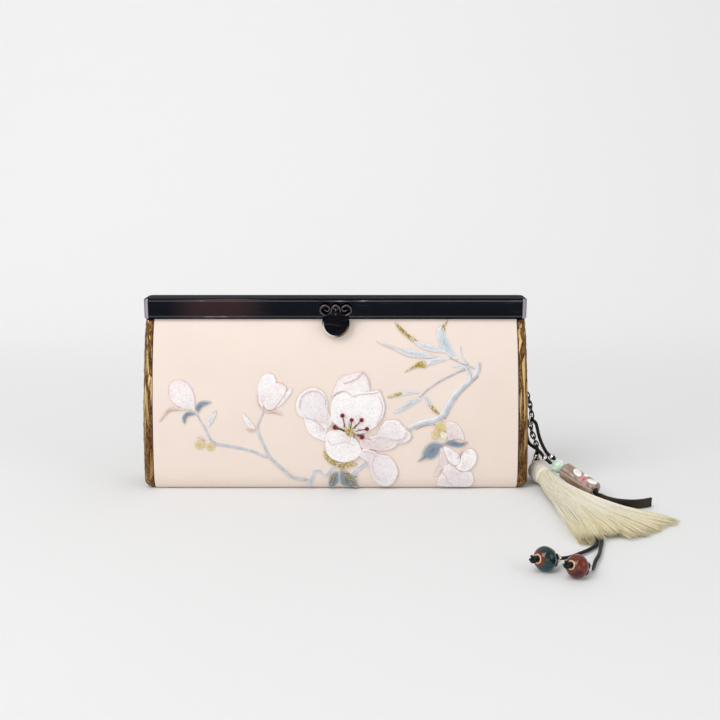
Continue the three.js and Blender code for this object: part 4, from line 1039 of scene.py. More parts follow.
STROKES = (
    Stroke(Silk.BRANCH, 1, (0.78, 1.47), (-716, 414, -695, 374, -672, 333, -658, 297, -644, 271)),
    Stroke(Silk.BRANCH, 1, (1.86, 1.28), (-644, 271, -614, 253, -575, 246, -536, 238, -496, 231, -457, 222,
        -413, 207, -378, 188, -351, 183)),
    Stroke(Silk.BRANCH, 1, (0.78, 2.06), (-366, 434, -384, 394, -402, 348, -398, 312, -381, 266, -360, 215,
        -339, 178, -305, 141, -270, 109, -231, 74, -188, 61, -152, 57)),
    Stroke(Silk.BLUE, 1, (1.94, 1.94), (-150, 56, -127, 66, -104, 111, -84, 106, -60, 84, -42, 89, -19, 123,
        13, 134)),
    Stroke(Silk.BLUE, 1, (1.77, 1.94), (-130, 61, -135, 32, -128, 14)),
    Stroke(Silk.GOLD, 4, (0.4, 0.4), (6, 101, -13, 66, -28, 17)),
    Stroke(Silk.GOLD, 4, (0.44, 0.4), (26, 117, 66, 64, 91, 26, 109, 14)),
    Stroke(Silk.GOLD, 4, (0.35, 0.35), (66, 64, 86, 60, 107, 53)),
    Stroke(Silk.GOLD, 4, (0.35, 0.35), (42, 93, 44, 69, 48, 34)),
    Stroke(Silk.BLUE, 1, (2.91, 2.56), (75, 76, 116, 115, 158, 151)),
    Stroke(Silk.GOLD, 4, (0.35, 0.35), (34, 104, 64, 98, 96, 76)),
    Stroke(Silk.GOLD, 4, (0.35, 0.35), (56, 76, 84, 80, 114, 74)),
    Stroke(Silk.GOLD, 4, (0.35, 0.35), (78, 46, 76, 30, 80, 18)),
    Stroke(Silk.GOLD, 4, (0.35, 0.35), (-6, 80, -22, 72, -32, 56)),
    Stroke(Silk.GOLD, 5, (0.5, 0.4), (62, 324, 52, 346, 48, 368)),
    Stroke(Silk.GOLD, 5, (0.5, 0.4), (68, 326, 69, 352, 72, 376)),
    Stroke(Silk.GOLD, 5, (0.5, 0.4), (76, 324, 91, 344, 106, 360)),
    Stroke(Silk.GOLD, 5, (0.5, 0.4), (82, 318, 106, 325, 124, 338)),
    Stroke(Silk.GOLD, 5, (0.5, 0.4), (58, 322, 43, 333, 26, 342)),
    Stroke(Silk.GOLD, 5, (0.5, 0.4), (84, 314, 100, 308, 114, 299)),
    Stroke(Silk.GOLD, 5, (0.5, 0.4), (74, 314, 86, 300, 96, 286)),
    Stroke(Silk.CRIMSON, 5, (0.44, 0.35), (45, 342, 43, 372, 37, 399)),
    Stroke(Silk.CRIMSON, 5, (0.44, 0.35), (76, 337, 81, 360, 83, 379)),
    Stroke(Silk.CRIMSON, 5, (0.44, 0.35), (94, 337, 114, 360, 131, 379)),
    Stroke(Silk.CRIMSON, 5, (0.44, 0.35), (47, 321, 26, 333, 2, 341)),
    Stroke(Silk.CRIMSON, 5, (0.44, 0.35), (94, 321, 128, 329, 158, 334)),
    Stroke(Silk.CRIMSON, 5, (0.44, 0.35), (85, 310, 110, 303, 131, 293)),
    Stroke(Silk.LILAC, 2, (0.71, 0.94), (584, 700, 620, 685, 655, 670, 686, 660, 712, 646)),
    Stroke(Silk.BLUE, 2, (0.78, 1.02), (641, 759, 643, 732, 655, 697, 682, 670)),
    Stroke(Silk.LILAC, 2, (1.33, 0.71), (663, 643, 628, 631, 589, 611, 550, 592, 511, 568, 479, 545, 448,
        517, 429, 499)),
    Stroke(Silk.BLUE, 2, (1.73, 3.61), (737, 678, 734, 643, 714, 607, 687, 580, 648, 545, 613, 505, 588,
        465, 571, 433, 552, 401)),
    Stroke(Silk.BLUE, 2, (3.61, 2.43), (552, 403, 524, 381, 485, 369, 446, 364, 407, 348, 375, 331)),
    Stroke(Silk.BLUE, 3, (2.2, 1.57), (669, 658, 683, 631, 697, 584)),
    Stroke(Silk.OUTLINE, 1, (0.35, 0.35), (734, 607, 691, 566, 647, 523, 612, 479, 589, 447, 580, 413, 564,
        384)),
    Stroke(Silk.OUTLINE, 1, (0.35, 0.35), (525, 359, 485, 353, 446, 344, 415, 328)),
    Stroke(Silk.FOLD, 4, (0.32, 0.4), (40, 572, 78, 584, 115, 603, 140, 629, 165, 598, 174, 556)),
    Stroke(Silk.FOLD, 4, (0.32, 0.4), (-16, 507, 15, 528, 53, 532, 90, 508, 128, 517, 165, 520, 202, 523,
        229, 532)),
    Stroke(Silk.FOLD, 4, (0.32, 0.4), (216, 512, 235, 478, 240, 439, 230, 399, 210, 360)),
    Stroke(Silk.FOLD, 4, (0.32, 0.4), (-50, 461, -59, 507, -90, 532, -134, 532, -170, 507, -184, 474, -183,
        442)),
    Stroke(Silk.FOLD, 4, (0.32, 0.4), (-159, 396, -122, 386, -87, 364, -56, 331)),
    Stroke(Silk.FOLD, 4, (0.32, 0.4), (-41, 279, -22, 252, 15, 258, 53, 267, 93, 250)),
    Stroke(Silk.FOLD, 4, (0.32, 0.4), (202, 286, 240, 291, 283, 282, 321, 276, 343, 265)),
    Stroke(Silk.FOLD, 4, (0.32, 0.4), (361, 338, 367, 315, 346, 286, 321, 279)),
    Stroke(Silk.FOLD, 4, (0.32, 0.4), (134, 215, 171, 213, 202, 198, 190, 149, 199, 97, 230, 58)),
    Stroke(Silk.FOLD, 4, (0.32, 0.4), (545, 113, 570, 84, 582, 51, 607, 35)),
    Stroke(Silk.FOLD, 4, (0.32, 0.4), (629, 172, 642, 198, 663, 213, 688, 213)),
)

ANTHERS = (
    ((3.6, 40.6), 1.15),
    ((8.3, 38.3), 1.02),
    ((13.4, 38.3), 1.1),
    ((-0.4, 34.4), 1.15),
    ((16.2, 33.5), 1.06),
    ((13.6, 29.2), 1.22),
)


@dataclass
class Studio:
    """The camera, the pale floor that rises into a wall, and soft lamps."""

    camera_at: Point = (12.6, -508.0, 170.0)
    camera_pitch: float = 78.5
    lens: float = 49.5
    half_width: float = 2600.0
    front: float = -2600.0
    wall: float = 760.0
    bend: float = 420.0
    height: float = 2200.0

    def camera(self) -> None:
        """Sets the camera where the photograph's stood."""
        data = bpy.data.cameras.new("camera")
        data.lens, data.sensor_width = self.lens, 36.0
        data.clip_start, data.clip_end = 0.01, 20.0
        made = bpy.data.objects.new("camera", data)
        made.location = [c * MM for c in self.camera_at]
        made.rotation_euler = (math.radians(self.camera_pitch), 0.0, 0.0)
        bpy.context.scene.collection.objects.link(made)
        bpy.context.scene.camera = made

    def floor(self) -> None:
        """A sheet that runs along the floor, round a quarter circle and up the wall."""
        a = np.linspace(0, math.pi / 2, 24)
        line = np.vstack([[self.front, 0.0],
                          np.stack([self.wall - self.bend + self.bend * np.sin(a), self.bend * (1 - np.cos(a))], 1),
                          [self.wall, self.height]])
        x = np.array([-self.half_width, self.half_width])
        points = stacked(x[None, :], line[:, 0, None], line[:, 1, None])
        points = points[::-1]
        material = bpy.data.materials.new("studio paper")
        material.use_nodes = True
        s = Shader(material.node_tree)
        surface = material.node_tree.nodes["Principled BSDF"]
        surface.inputs["Roughness"].default_value = 0.9
        surface.inputs["Specular IOR Level"].default_value = 0.1
        place = s.node("TexCoord").outputs["Object"]
        tooth = s.node("TexNoise", {"Vector": place, "Scale": 6.0, "Detail": 2.0})
        colour = s.mix(tooth.outputs["Fac"], shade(226, 226, 226), shade(229, 229, 229))
        # painted light: the paper grows lighter from 0.1 m behind the purse up into the wall, standing in for brighter
        # light there
        back = s.stretch(s.node("SeparateXYZ", {0: place}).outputs[1], 0.1, 0.5)
        colour = s.mix(back, colour, shade(239, 239, 239))
        s.tree.links.new(colour, surface.inputs["Base Color"])
        made = mesh_object("studio_floor", [Grid(points)], material)

    @staticmethod
    def lamp(name: str, place: Point, target: Point, size: float, power: float) -> None:
        """A soft square lamp.

        Args:
            name: the lamp's name.
            place: where it stands, in metres.
            target: where it points, in metres.
            size: its side in metres.
            power: its power in watts.
        """
        data = bpy.data.lights.new(name, "AREA")
        data.shape, data.size, data.energy = "SQUARE", size, power
        made = bpy.data.objects.new(name, data)
        along, side, rise = turned_to(np.asarray(place, float) - np.asarray(target, float))
        made.matrix_world = [[side[0], rise[0], along[0], place[0]], [side[1], rise[1], along[1], place[1]],
                             [side[2], rise[2], along[2], place[2]], [0, 0, 0, 1]]
        made.matrix_world.transpose()
        bpy.context.scene.collection.objects.link(made)

    def lights(self) -> None:
        """A large lamp at the front left, weaker ones at the right, in front and above, a small one for glints, and air."""
        self.lamp("key", (-0.75, -0.75, 1.05), (0.0, 0.0, 0.05), 0.8, 9.4)
        self.lamp("fill", (1.1, -0.7, 0.7), (0.05, 0.0, 0.05), 0.8, 2.6)
        self.lamp("front", (0.0, -1.3, 0.15), (0.0, 0.0, 0.04), 0.8, 2.1)
        self.lamp("top", (0.1, 0.15, 1.4), (0.0, 0.1, 0.0), 1.2, 1.2)
        self.lamp("glint", (-0.2, -0.5, 1.2), (0.0, 0.0, 0.0), 0.1, 0.9)
        world = bpy.data.worlds.new("surroundings")
        world.use_nodes = True
        back = world.node_tree.nodes["Background"]
        back.inputs["Color"].default_value = (1.0, 1.0, 1.0, 1.0)
        back.inputs["Strength"].default_value = 0.575
        bpy.context.scene.world = world
        bpy.context.scene.view_settings.view_transform = "Standard"

    def build(self) -> None:
        """Builds the camera, the floor and the lamps."""
        self.camera()
        self.floor()
        self.lights()


@dataclass
class Cords:
    """The three free leather cords of the charm, and the pieces on them."""

    finishes: Finishes
    loop_radius: float = 0.9
    bead_radius: float = 0.8
    loop_route: tuple[Point, ...] = (
        (114.9, -8.6, 15.3), (113.9, -7, 15.9), (111.9, -3.7, 16.9), (110.2, -1.5, 19.6), (108.8, 0.2, 22.8),
        (107.8, 1.4, 26), (107.1, 2, 29.2), (106.2, 2.5, 32), (104.55, 3.8, 33.1), (102.9, 5.4, 31.8),
        (101.9, 5.4, 28.6), (101.9, 3.4, 24.8), (102.9, 1.2, 21.2), (104.7, -0.2, 19.7), (106.5, -1.4, 18.7),
        (108.4, -3.3, 17.1), (110.4, -5.6, 14.9), (113.1, -8.2, 12.85),
    )
    teal_route: tuple[Point, ...] = (
        (108.62, 7.97, 9.2), (107.9, 9.3, 9.5), (108.6, 11.2, 9.2), (110, 12.6, 7.6), (112, 13, 4.6),
        (113.6, 11.6, 2.2), (114.2, 7, 1.4), (114, 0, 1.3), (113.8, -10, 1.3), (114.3, -25, 1.3),
        (115.8, -42, 1.3),
        (117.6, -60, 1.3), (119.4, -76, 1.3), (119.8, -85, 1.3), (117.9, -91.8, 1.3), (114, -97, 1.3),
        (108.6, -102.4, 1.6), (102.8, -108.4, 2.4),
    )
    rust_route: tuple[Point, ...] = (
        (108.85, 7.71, 9.18), (110.3, 6.5, 9), (111.9, 7, 8.4), (113.8, 8.8, 6.4), (115.4, 8.8, 3.8),
        (116.3, 6, 1.7),
        (116.3, 0, 1.3), (115.9, -14, 1.3), (116.4, -28, 1.3), (118, -45, 1.3), (120, -62, 1.3),
        (121.6, -76, 1.3),
        (121.6, -87, 1.3), (119.2, -95, 1.3), (116.6, -103, 1.4), (113.2, -111, 1.8),
    )
    crimp_radius: float = 1.6
    crimp_length: float = 2.0

    def crimp(self, name: str, index: int) -> bpy.types.Object:
        """A silver crimp round the loop at one of its route's points.

        Its profile bulges between two rolled rims, and three pressed flats go round it.

        Args:
            name: the crimp's name, which is its solid's too.
            index: the route's point.

        Returns:
            The crimp.
        """
        per_span = 24
        line = curve(self.loop_route, per_span)
        along = tangents(line)[index * per_span]
        hole, length, radius = self.loop_radius + 0.3, self.crimp_length, self.crimp_radius
        profile = [(hole, 0.1), (hole + 0.12, 0), (radius * 0.9,
                                                   0), (radius * 0.95, 0.25), (radius + 0.25, length / 2),
                   (radius * 0.95, length - 0.25), (radius * 0.9, length), (hole + 0.12, length),
                   (hole, length - 0.1),
                   (hole, 0.1)]
        turn = np.arange(36) / 36 * TAU
        body = turned(profile, line[index * per_span] - along * length / 2, along, 36, 5,
                      1 - 0.03 * np.abs(np.sin(1.5 * turn)))
        return piece(name + "_shaped", [body], self.finishes.silver, [name])

    def cord(self, name: str, route: Sequence[Point], radius: float,
             about: Point) -> tuple[bpy.types.Object, list]:
        """A leather cord on its route.

        Args:
            name: the solid that it stands for.
            route: the points that it runs through.
            radius: its radius.
            about: a direction that it never runs in.

        Returns:
            The cord, and the points that it follows, in metres.
        """
        line = curve(route, 14)
        made = piece(name + "_shaped", [tube(line, radius, about, 14)], self.finishes.cord_leather,
                     [name])
        return made, (line * MM).tolist()

    def build(self, balls: "BallBeads") -> None:
        """Args:
            balls: the ball beads and what goes with them.
        """
        loop, path = self.cord("leather_loop", self.loop_route, self.loop_radius, (0.77, 0.64, 0.0))
        crimps = [self.crimp("crimp_upper", 1), self.crimp("crimp_lower", len(self.loop_route) - 2)]
        for bead, route in ((balls.teal, self.teal_route), (balls.rust, self.rust_route)):
            route = [*route, *bead.threading()]
            cord, path = self.cord(f"{bead.name}_cord", route, self.bead_radius, (0.0, 0.0, 1.0))
            balls.build(bead)


@dataclass(frozen=True)
class BallBead:
    """One glazed ball bead on its cord: its name, size, place, and the axis that points to its knot."""

    name: str
    radius: float
    centre: Point
    axis: Point
    finish: bpy.types.Material
    slot: str
    flatness: float = 0.88
    cap: float = 0.7
    gap: float = 0.3
    spacer: float = 2.0

    @property
    def half(self) -> float:
        """Half the bead's length along its axis."""
        return self.radius * self.flatness

    def at(self, distance: float) -> Array:
        """A point on the axis, at a distance from the centre."""
        return np.asarray(self.centre, float) + unit(np.asarray(self.axis, float)) * distance

    def threading(self) -> list[Array]:
        """The points of the cord through the spacer, the cap and the bead."""
        entry = self.half + 2 * self.gap + self.cap + self.spacer
        return [self.at(-entry - 2.5), self.at(-entry), self.at(-self.half), self.at(0), self.at(self.half)]


@dataclass
class BallBeads:
    """The two ball beads, each with a petal cap, a spacer of small stones and a knot."""

    finishes: Finishes
    hole: float = 1.1
    knot_radius: float = 1.9
    teal: BallBead = field(init=False)
    rust: BallBead = field(init=False)

    def __post_init__(self) -> None:
        """Places both beads."""
        self.teal = BallBead("teal", 5.25, (90.3, -117.2, 5.35), (-0.82, -0.52, 0.2), self.finishes.teal,
                             "teal_glaze")
        self.rust = BallBead("rust", 4.95, (102.2, -124.5, 5.15), (-0.75, -0.55, 0.35), self.finishes.rust,
                             "rust_glaze")

    def ball(self, bead: BallBead) -> bpy.types.Object:
        """A ball flattened along its axis, with a hole whose mouths are rolled in."""
        start = math.asin(self.hole / bead.radius)
        a = np.linspace(start, math.pi - start, 40)
        outside = [(bead.radius * math.sin(t), -bead.half * math.cos(t)) for t in a]
        reach = outside[-1][1]
        profile = [(self.hole, -reach + 0.5), *outside, (self.hole, reach - 0.5)]
        body = turned(profile, bead.centre, bead.axis, 64)
        wall = turned([(self.hole, reach - 0.5), (self.hole, -reach + 0.5)], bead.centre, bead.axis, 64)
        return piece(f"{bead.name}_ball", [body, wall], bead.finish, [f"{bead.name}_bead"])

    def petal_cap(self, bead: BallBead) -> bpy.types.Object:
        """A cap of five cast petals on the bead's back.

        The petals' rim rises with the absolute cosine of two and a half turns, and a rib runs down each.
        """
        turn = np.arange(80) / 80 * TAU
        lobe = np.abs(np.cos(2.5 * turn))
        inner, outer = bead.radius + bead.gap, bead.radius + bead.gap + bead.cap
        low = math.asin((self.hole + 0.1) / outer)
        high = low + 0.2 + 0.3 * lobe
        along, side, rise = turned_to(bead.axis)
        ring = np.cos(turn)[:, None] * side + np.sin(turn)[:, None] * rise
        share = np.linspace(0, 1, 12)[:, None]
        polar = low + (high - low)[None, :] * share
        rib = 0.12 * np.cos(5 * turn)[None, :] * np.sin(math.pi * share)

        def skin(radius: float, relief: Array) -> Array:
            """The cap's points at a radius, with relief."""
            r = radius + relief
            return (np.asarray(bead.centre, float) - (r * bead.flatness * np.cos(polar))[..., None] * along
                    + (r * np.sin(polar))[..., None] * ring[None])

        top, under = skin(outer, rib), skin(inner, 0 * rib)
        loop = np.concatenate([top, under[::-1], top[:1]])
        return piece(f"{bead.name}_petal_cap", [Grid(loop, round_columns=True)], self.finishes.dark_steel,
                     [f"{bead.name}_cap"])

    def rondelle(self, bead: BallBead) -> list[bpy.types.Object]:
        """A spacer: a waisted silver ring with nine small cut stones round it."""
        start = -(bead.half + 2 * bead.gap + bead.cap + bead.spacer)
        r, length = 2.0, bead.spacer
        profile = [(self.hole, 0), (r * 0.86, 0), (r * 0.9, 0.3), (r * 0.78, 0.5), (r * 0.78, length - 0.5),
                   (r * 0.9, length - 0.3), (r * 0.86, length), (self.hole, length), (self.hole, 0)]
        body = turned(profile, bead.at(start), bead.axis, 40)
        turn = np.arange(9) / 9 * TAU
        along, side, rise = turned_to(bead.axis)
        out = np.cos(turn)[:, None] * side + np.sin(turn)[:, None] * rise
        centres = bead.at(start + length / 2) + out * r * 0.82
        lat = np.linspace(0, math.pi, 6)[:, None, None]
        lon = (np.arange(8) / 8 * TAU)[None, :, None]
        stones = np.stack([(np.cos(lat) * along * 0.5 + np.sin(lat)
                            * (np.cos(lon) * o * 0.4 + np.sin(lon) * np.cross(along, o) * 0.5))
                           + c for o, c in zip(out, centres)])
        made = piece(f"{bead.name}_rondelle", [body], self.finishes.silver, [f"{bead.name}_spacer"])
        gems = piece(f"{bead.name}_stones", [Grid(stones, round_columns=True)], self.finishes.crystal)
        return [made, gems]

    def knot(self, bead: BallBead) -> bpy.types.Object:
        """An overhand knot: a trefoil line, pulled tight, in the bead cord's leather."""
        t = np.arange(160) / 160 * TAU
        along, side, rise = turned_to(bead.axis)
        x, y, z = np.sin(t) + 2 * np.sin(2 * t), np.cos(t) - 2 * np.cos(2 * t), -np.sin(3 * t)
        scale = (self.knot_radius - 0.62) / 3
        line = (bead.at(bead.half + bead.gap + 0.9 * self.knot_radius) + scale
                * (x[:, None] * side + y[:, None] * rise + 1.5 * z[:, None] * along))
        line = np.vstack([line, line[:1]])
        tail = curve([line[0], line[0] + along * 0.9 + side * 0.2, line[0] + along * 1.5 + side * 0.7], 8)
        return piece(f"{bead.name}_tied_knot", [tube(line, 0.62, along + 0.01 * side,
                                                     10), tube(tail, 0.55, rise, 10)],
                     self.finishes.cord_leather, [f"{bead.name}_knot"])

    def build(self, bead: BallBead) -> list[bpy.types.Object]:
        """Builds what is on one cord."""
        return [self.ball(bead), self.petal_cap(bead), *self.rondelle(bead), self.knot(bead)]


@dataclass
class Panel:
    """The front panel's surface, which the satin and the embroidery share."""

    height: float = 100.0
    frame_bottom: float = 89.5
    half_width_top: float = 93.0
    half_width_base: float = 95.0
    belly: float = 13.8
    mouth: float = 6.3
    base_half_depth: float = 8.5
    cloth_top: float = 96.0
    puff: float = 0.8
    section: tuple[Point, ...] = ((0.965, 0.16), (0.9, 0.38), (0.78, 0.64), (0.62, 0.84), (0.45, 0.96))
    profile: Array = field(init=False)

    def __post_init__(self) -> None:
        """Works out the front's section from the frame down to the middle of the base."""
        span = self.belly - self.mouth
        points = [(-self.mouth, self.cloth_top), (-self.mouth, self.frame_bottom)]
        points += [(-self.mouth - depth * span, share * self.frame_bottom) for share, depth in self.section]
        points.append((-self.belly, 24.0))
        angle = np.arange(1, 6) / 5 * math.pi / 2
        y = -self.base_half_depth - (self.belly - self.base_half_depth) * np.cos(angle)
        points += list(zip(y, 12.0 * (1 - np.sin(angle)) ** 1.25))
        points += [(-0.4 * self.base_half_depth, 0.0), (0.0, 0.0)]
        self.profile = curve(points, 16)

    def half_width(self, z: Array) -> Array:
        """Half the panel's width at a height."""
        return self.half_width_base + (self.half_width_top
                                       - self.half_width_base) * np.clip(z / self.frame_bottom, 0, 1) ** 1.6

    def fullness(self, share: Array, z: Array) -> Array:
        """How much the cloth stands out at a share of the half width: a sine up the panel that fades at the ends."""
        loose = np.where((z < self.frame_bottom) & (z > 0), np.sin(math.pi * z / self.frame_bottom), 0)
        return 1 + self.puff / self.belly * loose * (1 - share**4)

    def lift(self, flat: Array, height: Array | float) -> Array:
        """Points that stand a height above the front of the panel.

        Args:
            flat: places across and up the panel.
            height: how far each stands off the satin.

        Returns:
            The points.
        """
        x, z = flat[..., 0], np.clip(flat[..., 1], 1.2, 95.0)
        down = self.profile[::-1]
        y = np.interp(z, down[:, 1], down[:, 0])
        slope = np.interp(z + 0.5, down[:, 1], down[:, 0]) - np.interp(z - 0.5, down[:, 1], down[:, 0])
        y = y * self.fullness(x / self.half_width(z), z)
        normal = unit(np.stack([np.zeros_like(x), -np.ones_like(x), slope], -1))
        return np.stack([x, y, z], -1) + np.asarray(height)[..., None] * normal


@dataclass
class SatinBody:
    """The satin front, base and back in one cloth, with turned edges and a few soft ripples."""

    finishes: Finishes
    panel: Panel
    cloth: float = 1.5
    fold: float = 0.75
    columns: int = 150
    ripple: float = 0.1

    def sheet(self) -> tuple[Array, Array]:
        """The cloth's outer face.

        Each point is the section's point scaled out by the fullness; towards each end the face turns in on a quarter
        circle of the fold's radius; three slow sines make the ripples.

        Returns:
            The points in rows and columns, and their place in metres.
        """
        front = evenly(self.panel.profile, 110)
        section = np.vstack([front, (front * [-1, 1])[::-1][1:]])
        y, z = section[None, :, 0], section[None, :, 1]
        bend = np.linspace(0, math.pi / 2, 7)
        inset = np.concatenate([self.fold * (1
                                             - np.sin(bend[::-1])), np.zeros(self.columns),
                                             self.fold * (1 - np.sin(bend))])
        drop = np.concatenate([self.fold * (1
                                            - np.cos(bend[::-1])), np.zeros(self.columns),
                                            self.fold * (1 - np.cos(bend))])
        flat = np.linspace(-1, 1, self.columns)
        edge = self.fold / self.panel.half_width_base
        share = np.concatenate([-1 + inset[:7] / self.panel.half_width_base, flat * (1 - edge * 1.02),
                                1 - inset[-7:] / self.panel.half_width_base])[::-1, None]
        drop = drop[::-1, None]
        x = share * self.panel.half_width(z)
        y = y * self.panel.fullness(share, z)
        points = stacked(x, y, z)
        normal = unit(np.cross(np.gradient(points, axis=0), np.gradient(points, axis=1)))
        run = lengths(section)[None, :]
        calm = smooth((self.panel.frame_bottom - z) / 12) * smooth(z / 6) * (1 - share**6)
        wave = (np.sin(x * 0.11 + z * 0.03 + 1.3) * np.sin(z * 0.06 + 0.4) + 0.6 * np.sin(x * 0.05 - z * 0.12)
                + 0.35 * np.sin(x * 0.31 + 0.7) * smooth((z - 70) / 18))
        points = points + normal * (self.ripple * wave * calm - drop)[..., None]
        place = stacked(x, run) * MM
        return points, place

    def build(self) -> None:
        """Builds the cloth."""
        points, place = self.sheet()
        made = piece("satin_cloth", walled(points, self.cloth, place), self.finishes.satin,
                     ["satin_shell"])


@dataclass
class Embroidery:
    """Raised silk motifs on the front panel: filled petals and leaves, stems, veins and knots."""

    finishes: Finishes
    panel: Panel
    rings: int = 20
    columns: int = 96
    ground: float = 0.06
    layer: float = 0.14
    upper: float = 0.6

    def patch(self, motif: Patch) -> Grid:
        """A filled motif.

        A point at share s between the root and the outline stands off the satin by a dome, 1 - s² to the power 0.6,
        with a small roll at the rim, and then turns down into the cloth, where it carries a painted shadow in the
        outline thread's colour; the stitches fan from the root.

        Args:
            motif: the motif.

        Returns:
            Its closed grid.
        """
        thread = motif.silk.value
        outline = evenly(curve(on_panel(motif.outline), 12, closed=True), self.columns, closed=True)
        root = on_panel(motif.root)[0]
        size = float(np.linalg.norm(outline - root, axis=1).mean())
        share = np.linspace(0, 1, self.rings)
        flat = root + share[:, None, None] * (outline - root)
        base = self.ground + self.layer * motif.layer + (self.upper if motif.layer > 4 else 0)
        dome = 0.5 * min(1.0, size / 7) * (1 - share**2) ** 0.6
        roll = 0.16 * min(1.0, size / 5) * np.exp(-(((share - 0.93) / 0.05) ** 2))
        height = base + dome + roll + 0.1
        turn = np.arange(self.columns) / self.columns * TAU
        flute = 0.05 * min(1.0, size / 6) * np.sin(turn * 23 + 3
                                                   * np.sin(turn * 3))[None, :] * (share**1.5 * (1 - share**8))[:, None]
        height = np.broadcast_to(height[:, None], flute.shape) + flute
        top = self.panel.lift(flat, height)
        under = self.panel.lift(np.stack([outline, np.broadcast_to(root, outline.shape)]),
                                np.full((2, self.columns), -0.3))
        points = np.concatenate([top, under])
        body = smooth(share[:, None] / 0.55)
        rim = smooth((share[:, None] - 0.8) / 0.14)
        patchy = 0.5 + 0.5 * np.sin(turn * 5 + root[0])[None, :] * np.sin(share * 9 + root[1])[:, None]
        root_c, body_c, rim_c = (np.asarray(c) for c in (thread.root, thread.body, thread.rim))
        colour = root_c + body[..., None] * (body_c - root_c) + rim[..., None] * (rim_c - body_c)
        colour = np.broadcast_to(colour, (*patchy.shape, 3)) * (1 - 0.04 * patchy[..., None])
        line = 0.6 * np.exp(-(((share - 0.86) / 0.035) ** 2))[:, None, None] * (size > 2.5)
        colour = colour + line * (0.35 * np.asarray(Silk.ROSE.value.root) + 0.65 * body_c - colour)
        # painted shadow round the motif's foot, in the outline thread's colour
        edge = np.asarray(Silk.OUTLINE.value.body)
        mixed = colour[-1] * 0.45 + edge * 0.55
        colour = np.concatenate([colour[:-1], mixed[None], np.broadcast_to(edge, (2, self.columns, 3))])
        tint = np.concatenate([colour, np.full((*colour.shape[:2], 1), thread.metal)], -1)
        around = lengths(np.vstack([outline, outline[:1]]))
        away = np.concatenate([share * size, [size + 0.4, size + 0.8]])
        place = stacked(around[None, :], away[:, None]) * MM
        return Grid(points, place, tint, round_columns=True)

    def stroke(self, motif: Stroke) -> Grid:
        """A stem or line: a low half-round bar on the satin, with its stitches laid across it on a slant.

        Args:
            motif: the motif.

        Returns:
            Its closed grid.
        """
        thread = motif.silk.value
        rough = curve(on_panel(motif.route), 16)
        count = max(10, int(lengths(rough)[-1] / 0.6))
        line = evenly(rough, count)
        along = tangents(line)
        across = np.stack([-along[:, 1], along[:, 0]], 1)
        run = lengths(line)
        share = run / run[-1]
        half = (motif.width[0] + (motif.width[1] - motif.width[0]) * share) / 2
        half = half * np.clip(np.minimum(run, run[-1] - run) / (0.5 * half.mean()) + 0.25, 0, 1) ** 0.5
        half = half * (1 + 0.08 * np.sin(run * 2.1))
        angle = np.linspace(-0.25, math.pi + 0.25, 11)
        flat = line[:, None] + (half[:, None] * np.cos(angle))[..., None] * across[:, None]
        base = self.ground + self.layer * motif.layer + (self.upper if motif.layer > 3 else 0)
        rise = base + np.minimum(half, 0.9)[:, None] * 0.55 * np.sin(angle)[None, :]
        rise[:, [0, -1]] = -0.3
        points = self.panel.lift(flat, rise)
        points = np.concatenate([points[:1] * 0 + points[0, 5] * 1.0, points, points[-1:] * 0 + points[-1, 5] * 1.0])
        rim = np.abs(np.cos(angle))[None, :, None] ** 3
        body = np.asarray(thread.body) + (np.asarray(thread.root)
                                          - np.asarray(thread.body)) * (0.5 + 0.5 * np.sin(run * 0.9))[:, None, None]
        colour = body + rim * (np.asarray(thread.rim) - body)
        inner = np.exp(-(((np.cos(angle)[None, :] - 0.5) / 0.3) ** 2)) * smooth((half[:, None] - 0.5) / 0.4)
        inner = inner * (0.55 + 0.45 * np.sin(run * 5.0)[:, None]) * (1 - thread.metal)
        colour = colour + 0.9 * inner[..., None] * (np.asarray(shade(176, 158, 156)) - colour)
        # painted shadow along both feet of the stroke, in the outline thread's colour
        colour[:, [0, -1]] = np.asarray(Silk.OUTLINE.value.body)
        colour = np.concatenate([colour[:1], colour, colour[-1:]])
        tint = np.concatenate([colour, np.full((*colour.shape[:2], 1), thread.metal)], -1)
        run = np.concatenate([run[:1], run, run[-1:]])
        slant = (run[:, None] + 0.5 * np.cos(np.append(angle, angle[-1]))[None, :]) * MM
        place = np.stack([slant, np.broadcast_to(np.arange(12)[None, :] * 0.3 * MM, slant.shape)], -1)
        return Grid(points, place, tint, round_columns=True)

    def anther(self, centre: Point, radius: float) -> Grid:
        """A knotted stitch: a low dome with a dimple, wound round its middle."""
        turn = np.arange(28) / 28 * TAU
        polar = np.linspace(0, math.pi / 2, 9)
        r = radius * np.sin(polar)[:, None] * (1 + 0.07 * np.sin(turn * 6 + polar[:, None] * 3))
        flat = np.asarray(centre, float) + r[..., None] * np.stack([np.cos(turn), np.sin(turn)], -1)
        height = self.upper + self.layer * 6 + radius * 0.6 * np.cos(polar) - 0.25 * np.exp(-((polar / 0.3) ** 2))
        top = self.panel.lift(flat, np.broadcast_to(height[:, None], r.shape))
        under = self.panel.lift(np.stack([flat[-1], flat[-1] * 0 + flat[0, :1]]), np.full((2, 28), 0.1))
        points = np.concatenate([top, under])
        thread = Silk.CRIMSON.value
        tint = np.ones((*points.shape[:2], 4)) * [*thread.body, 0.0]
        return Grid(points, None, tint, round_columns=True)

    def build(self) -> None:
        """Builds the petals and leaves, the stems and veins, and the knots."""
        blossom = (Silk.PETAL, Silk.PINK, Silk.MIST_PETAL, Silk.ROSE)
        petals = [self.patch(m) for m in PATCHES if m.silk in blossom]
        leaves = [self.patch(m) for m in PATCHES if m.silk not in blossom]
        silk = self.finishes.silk
        piece("embroidered_petals", petals, silk)
        piece("embroidered_leaves", leaves, silk)
        piece("embroidered_stems", [self.stroke(m) for m in STROKES], silk)
        piece("embroidered_knots", [self.anther(centre, radius) for centre, radius in ANTHERS], silk)


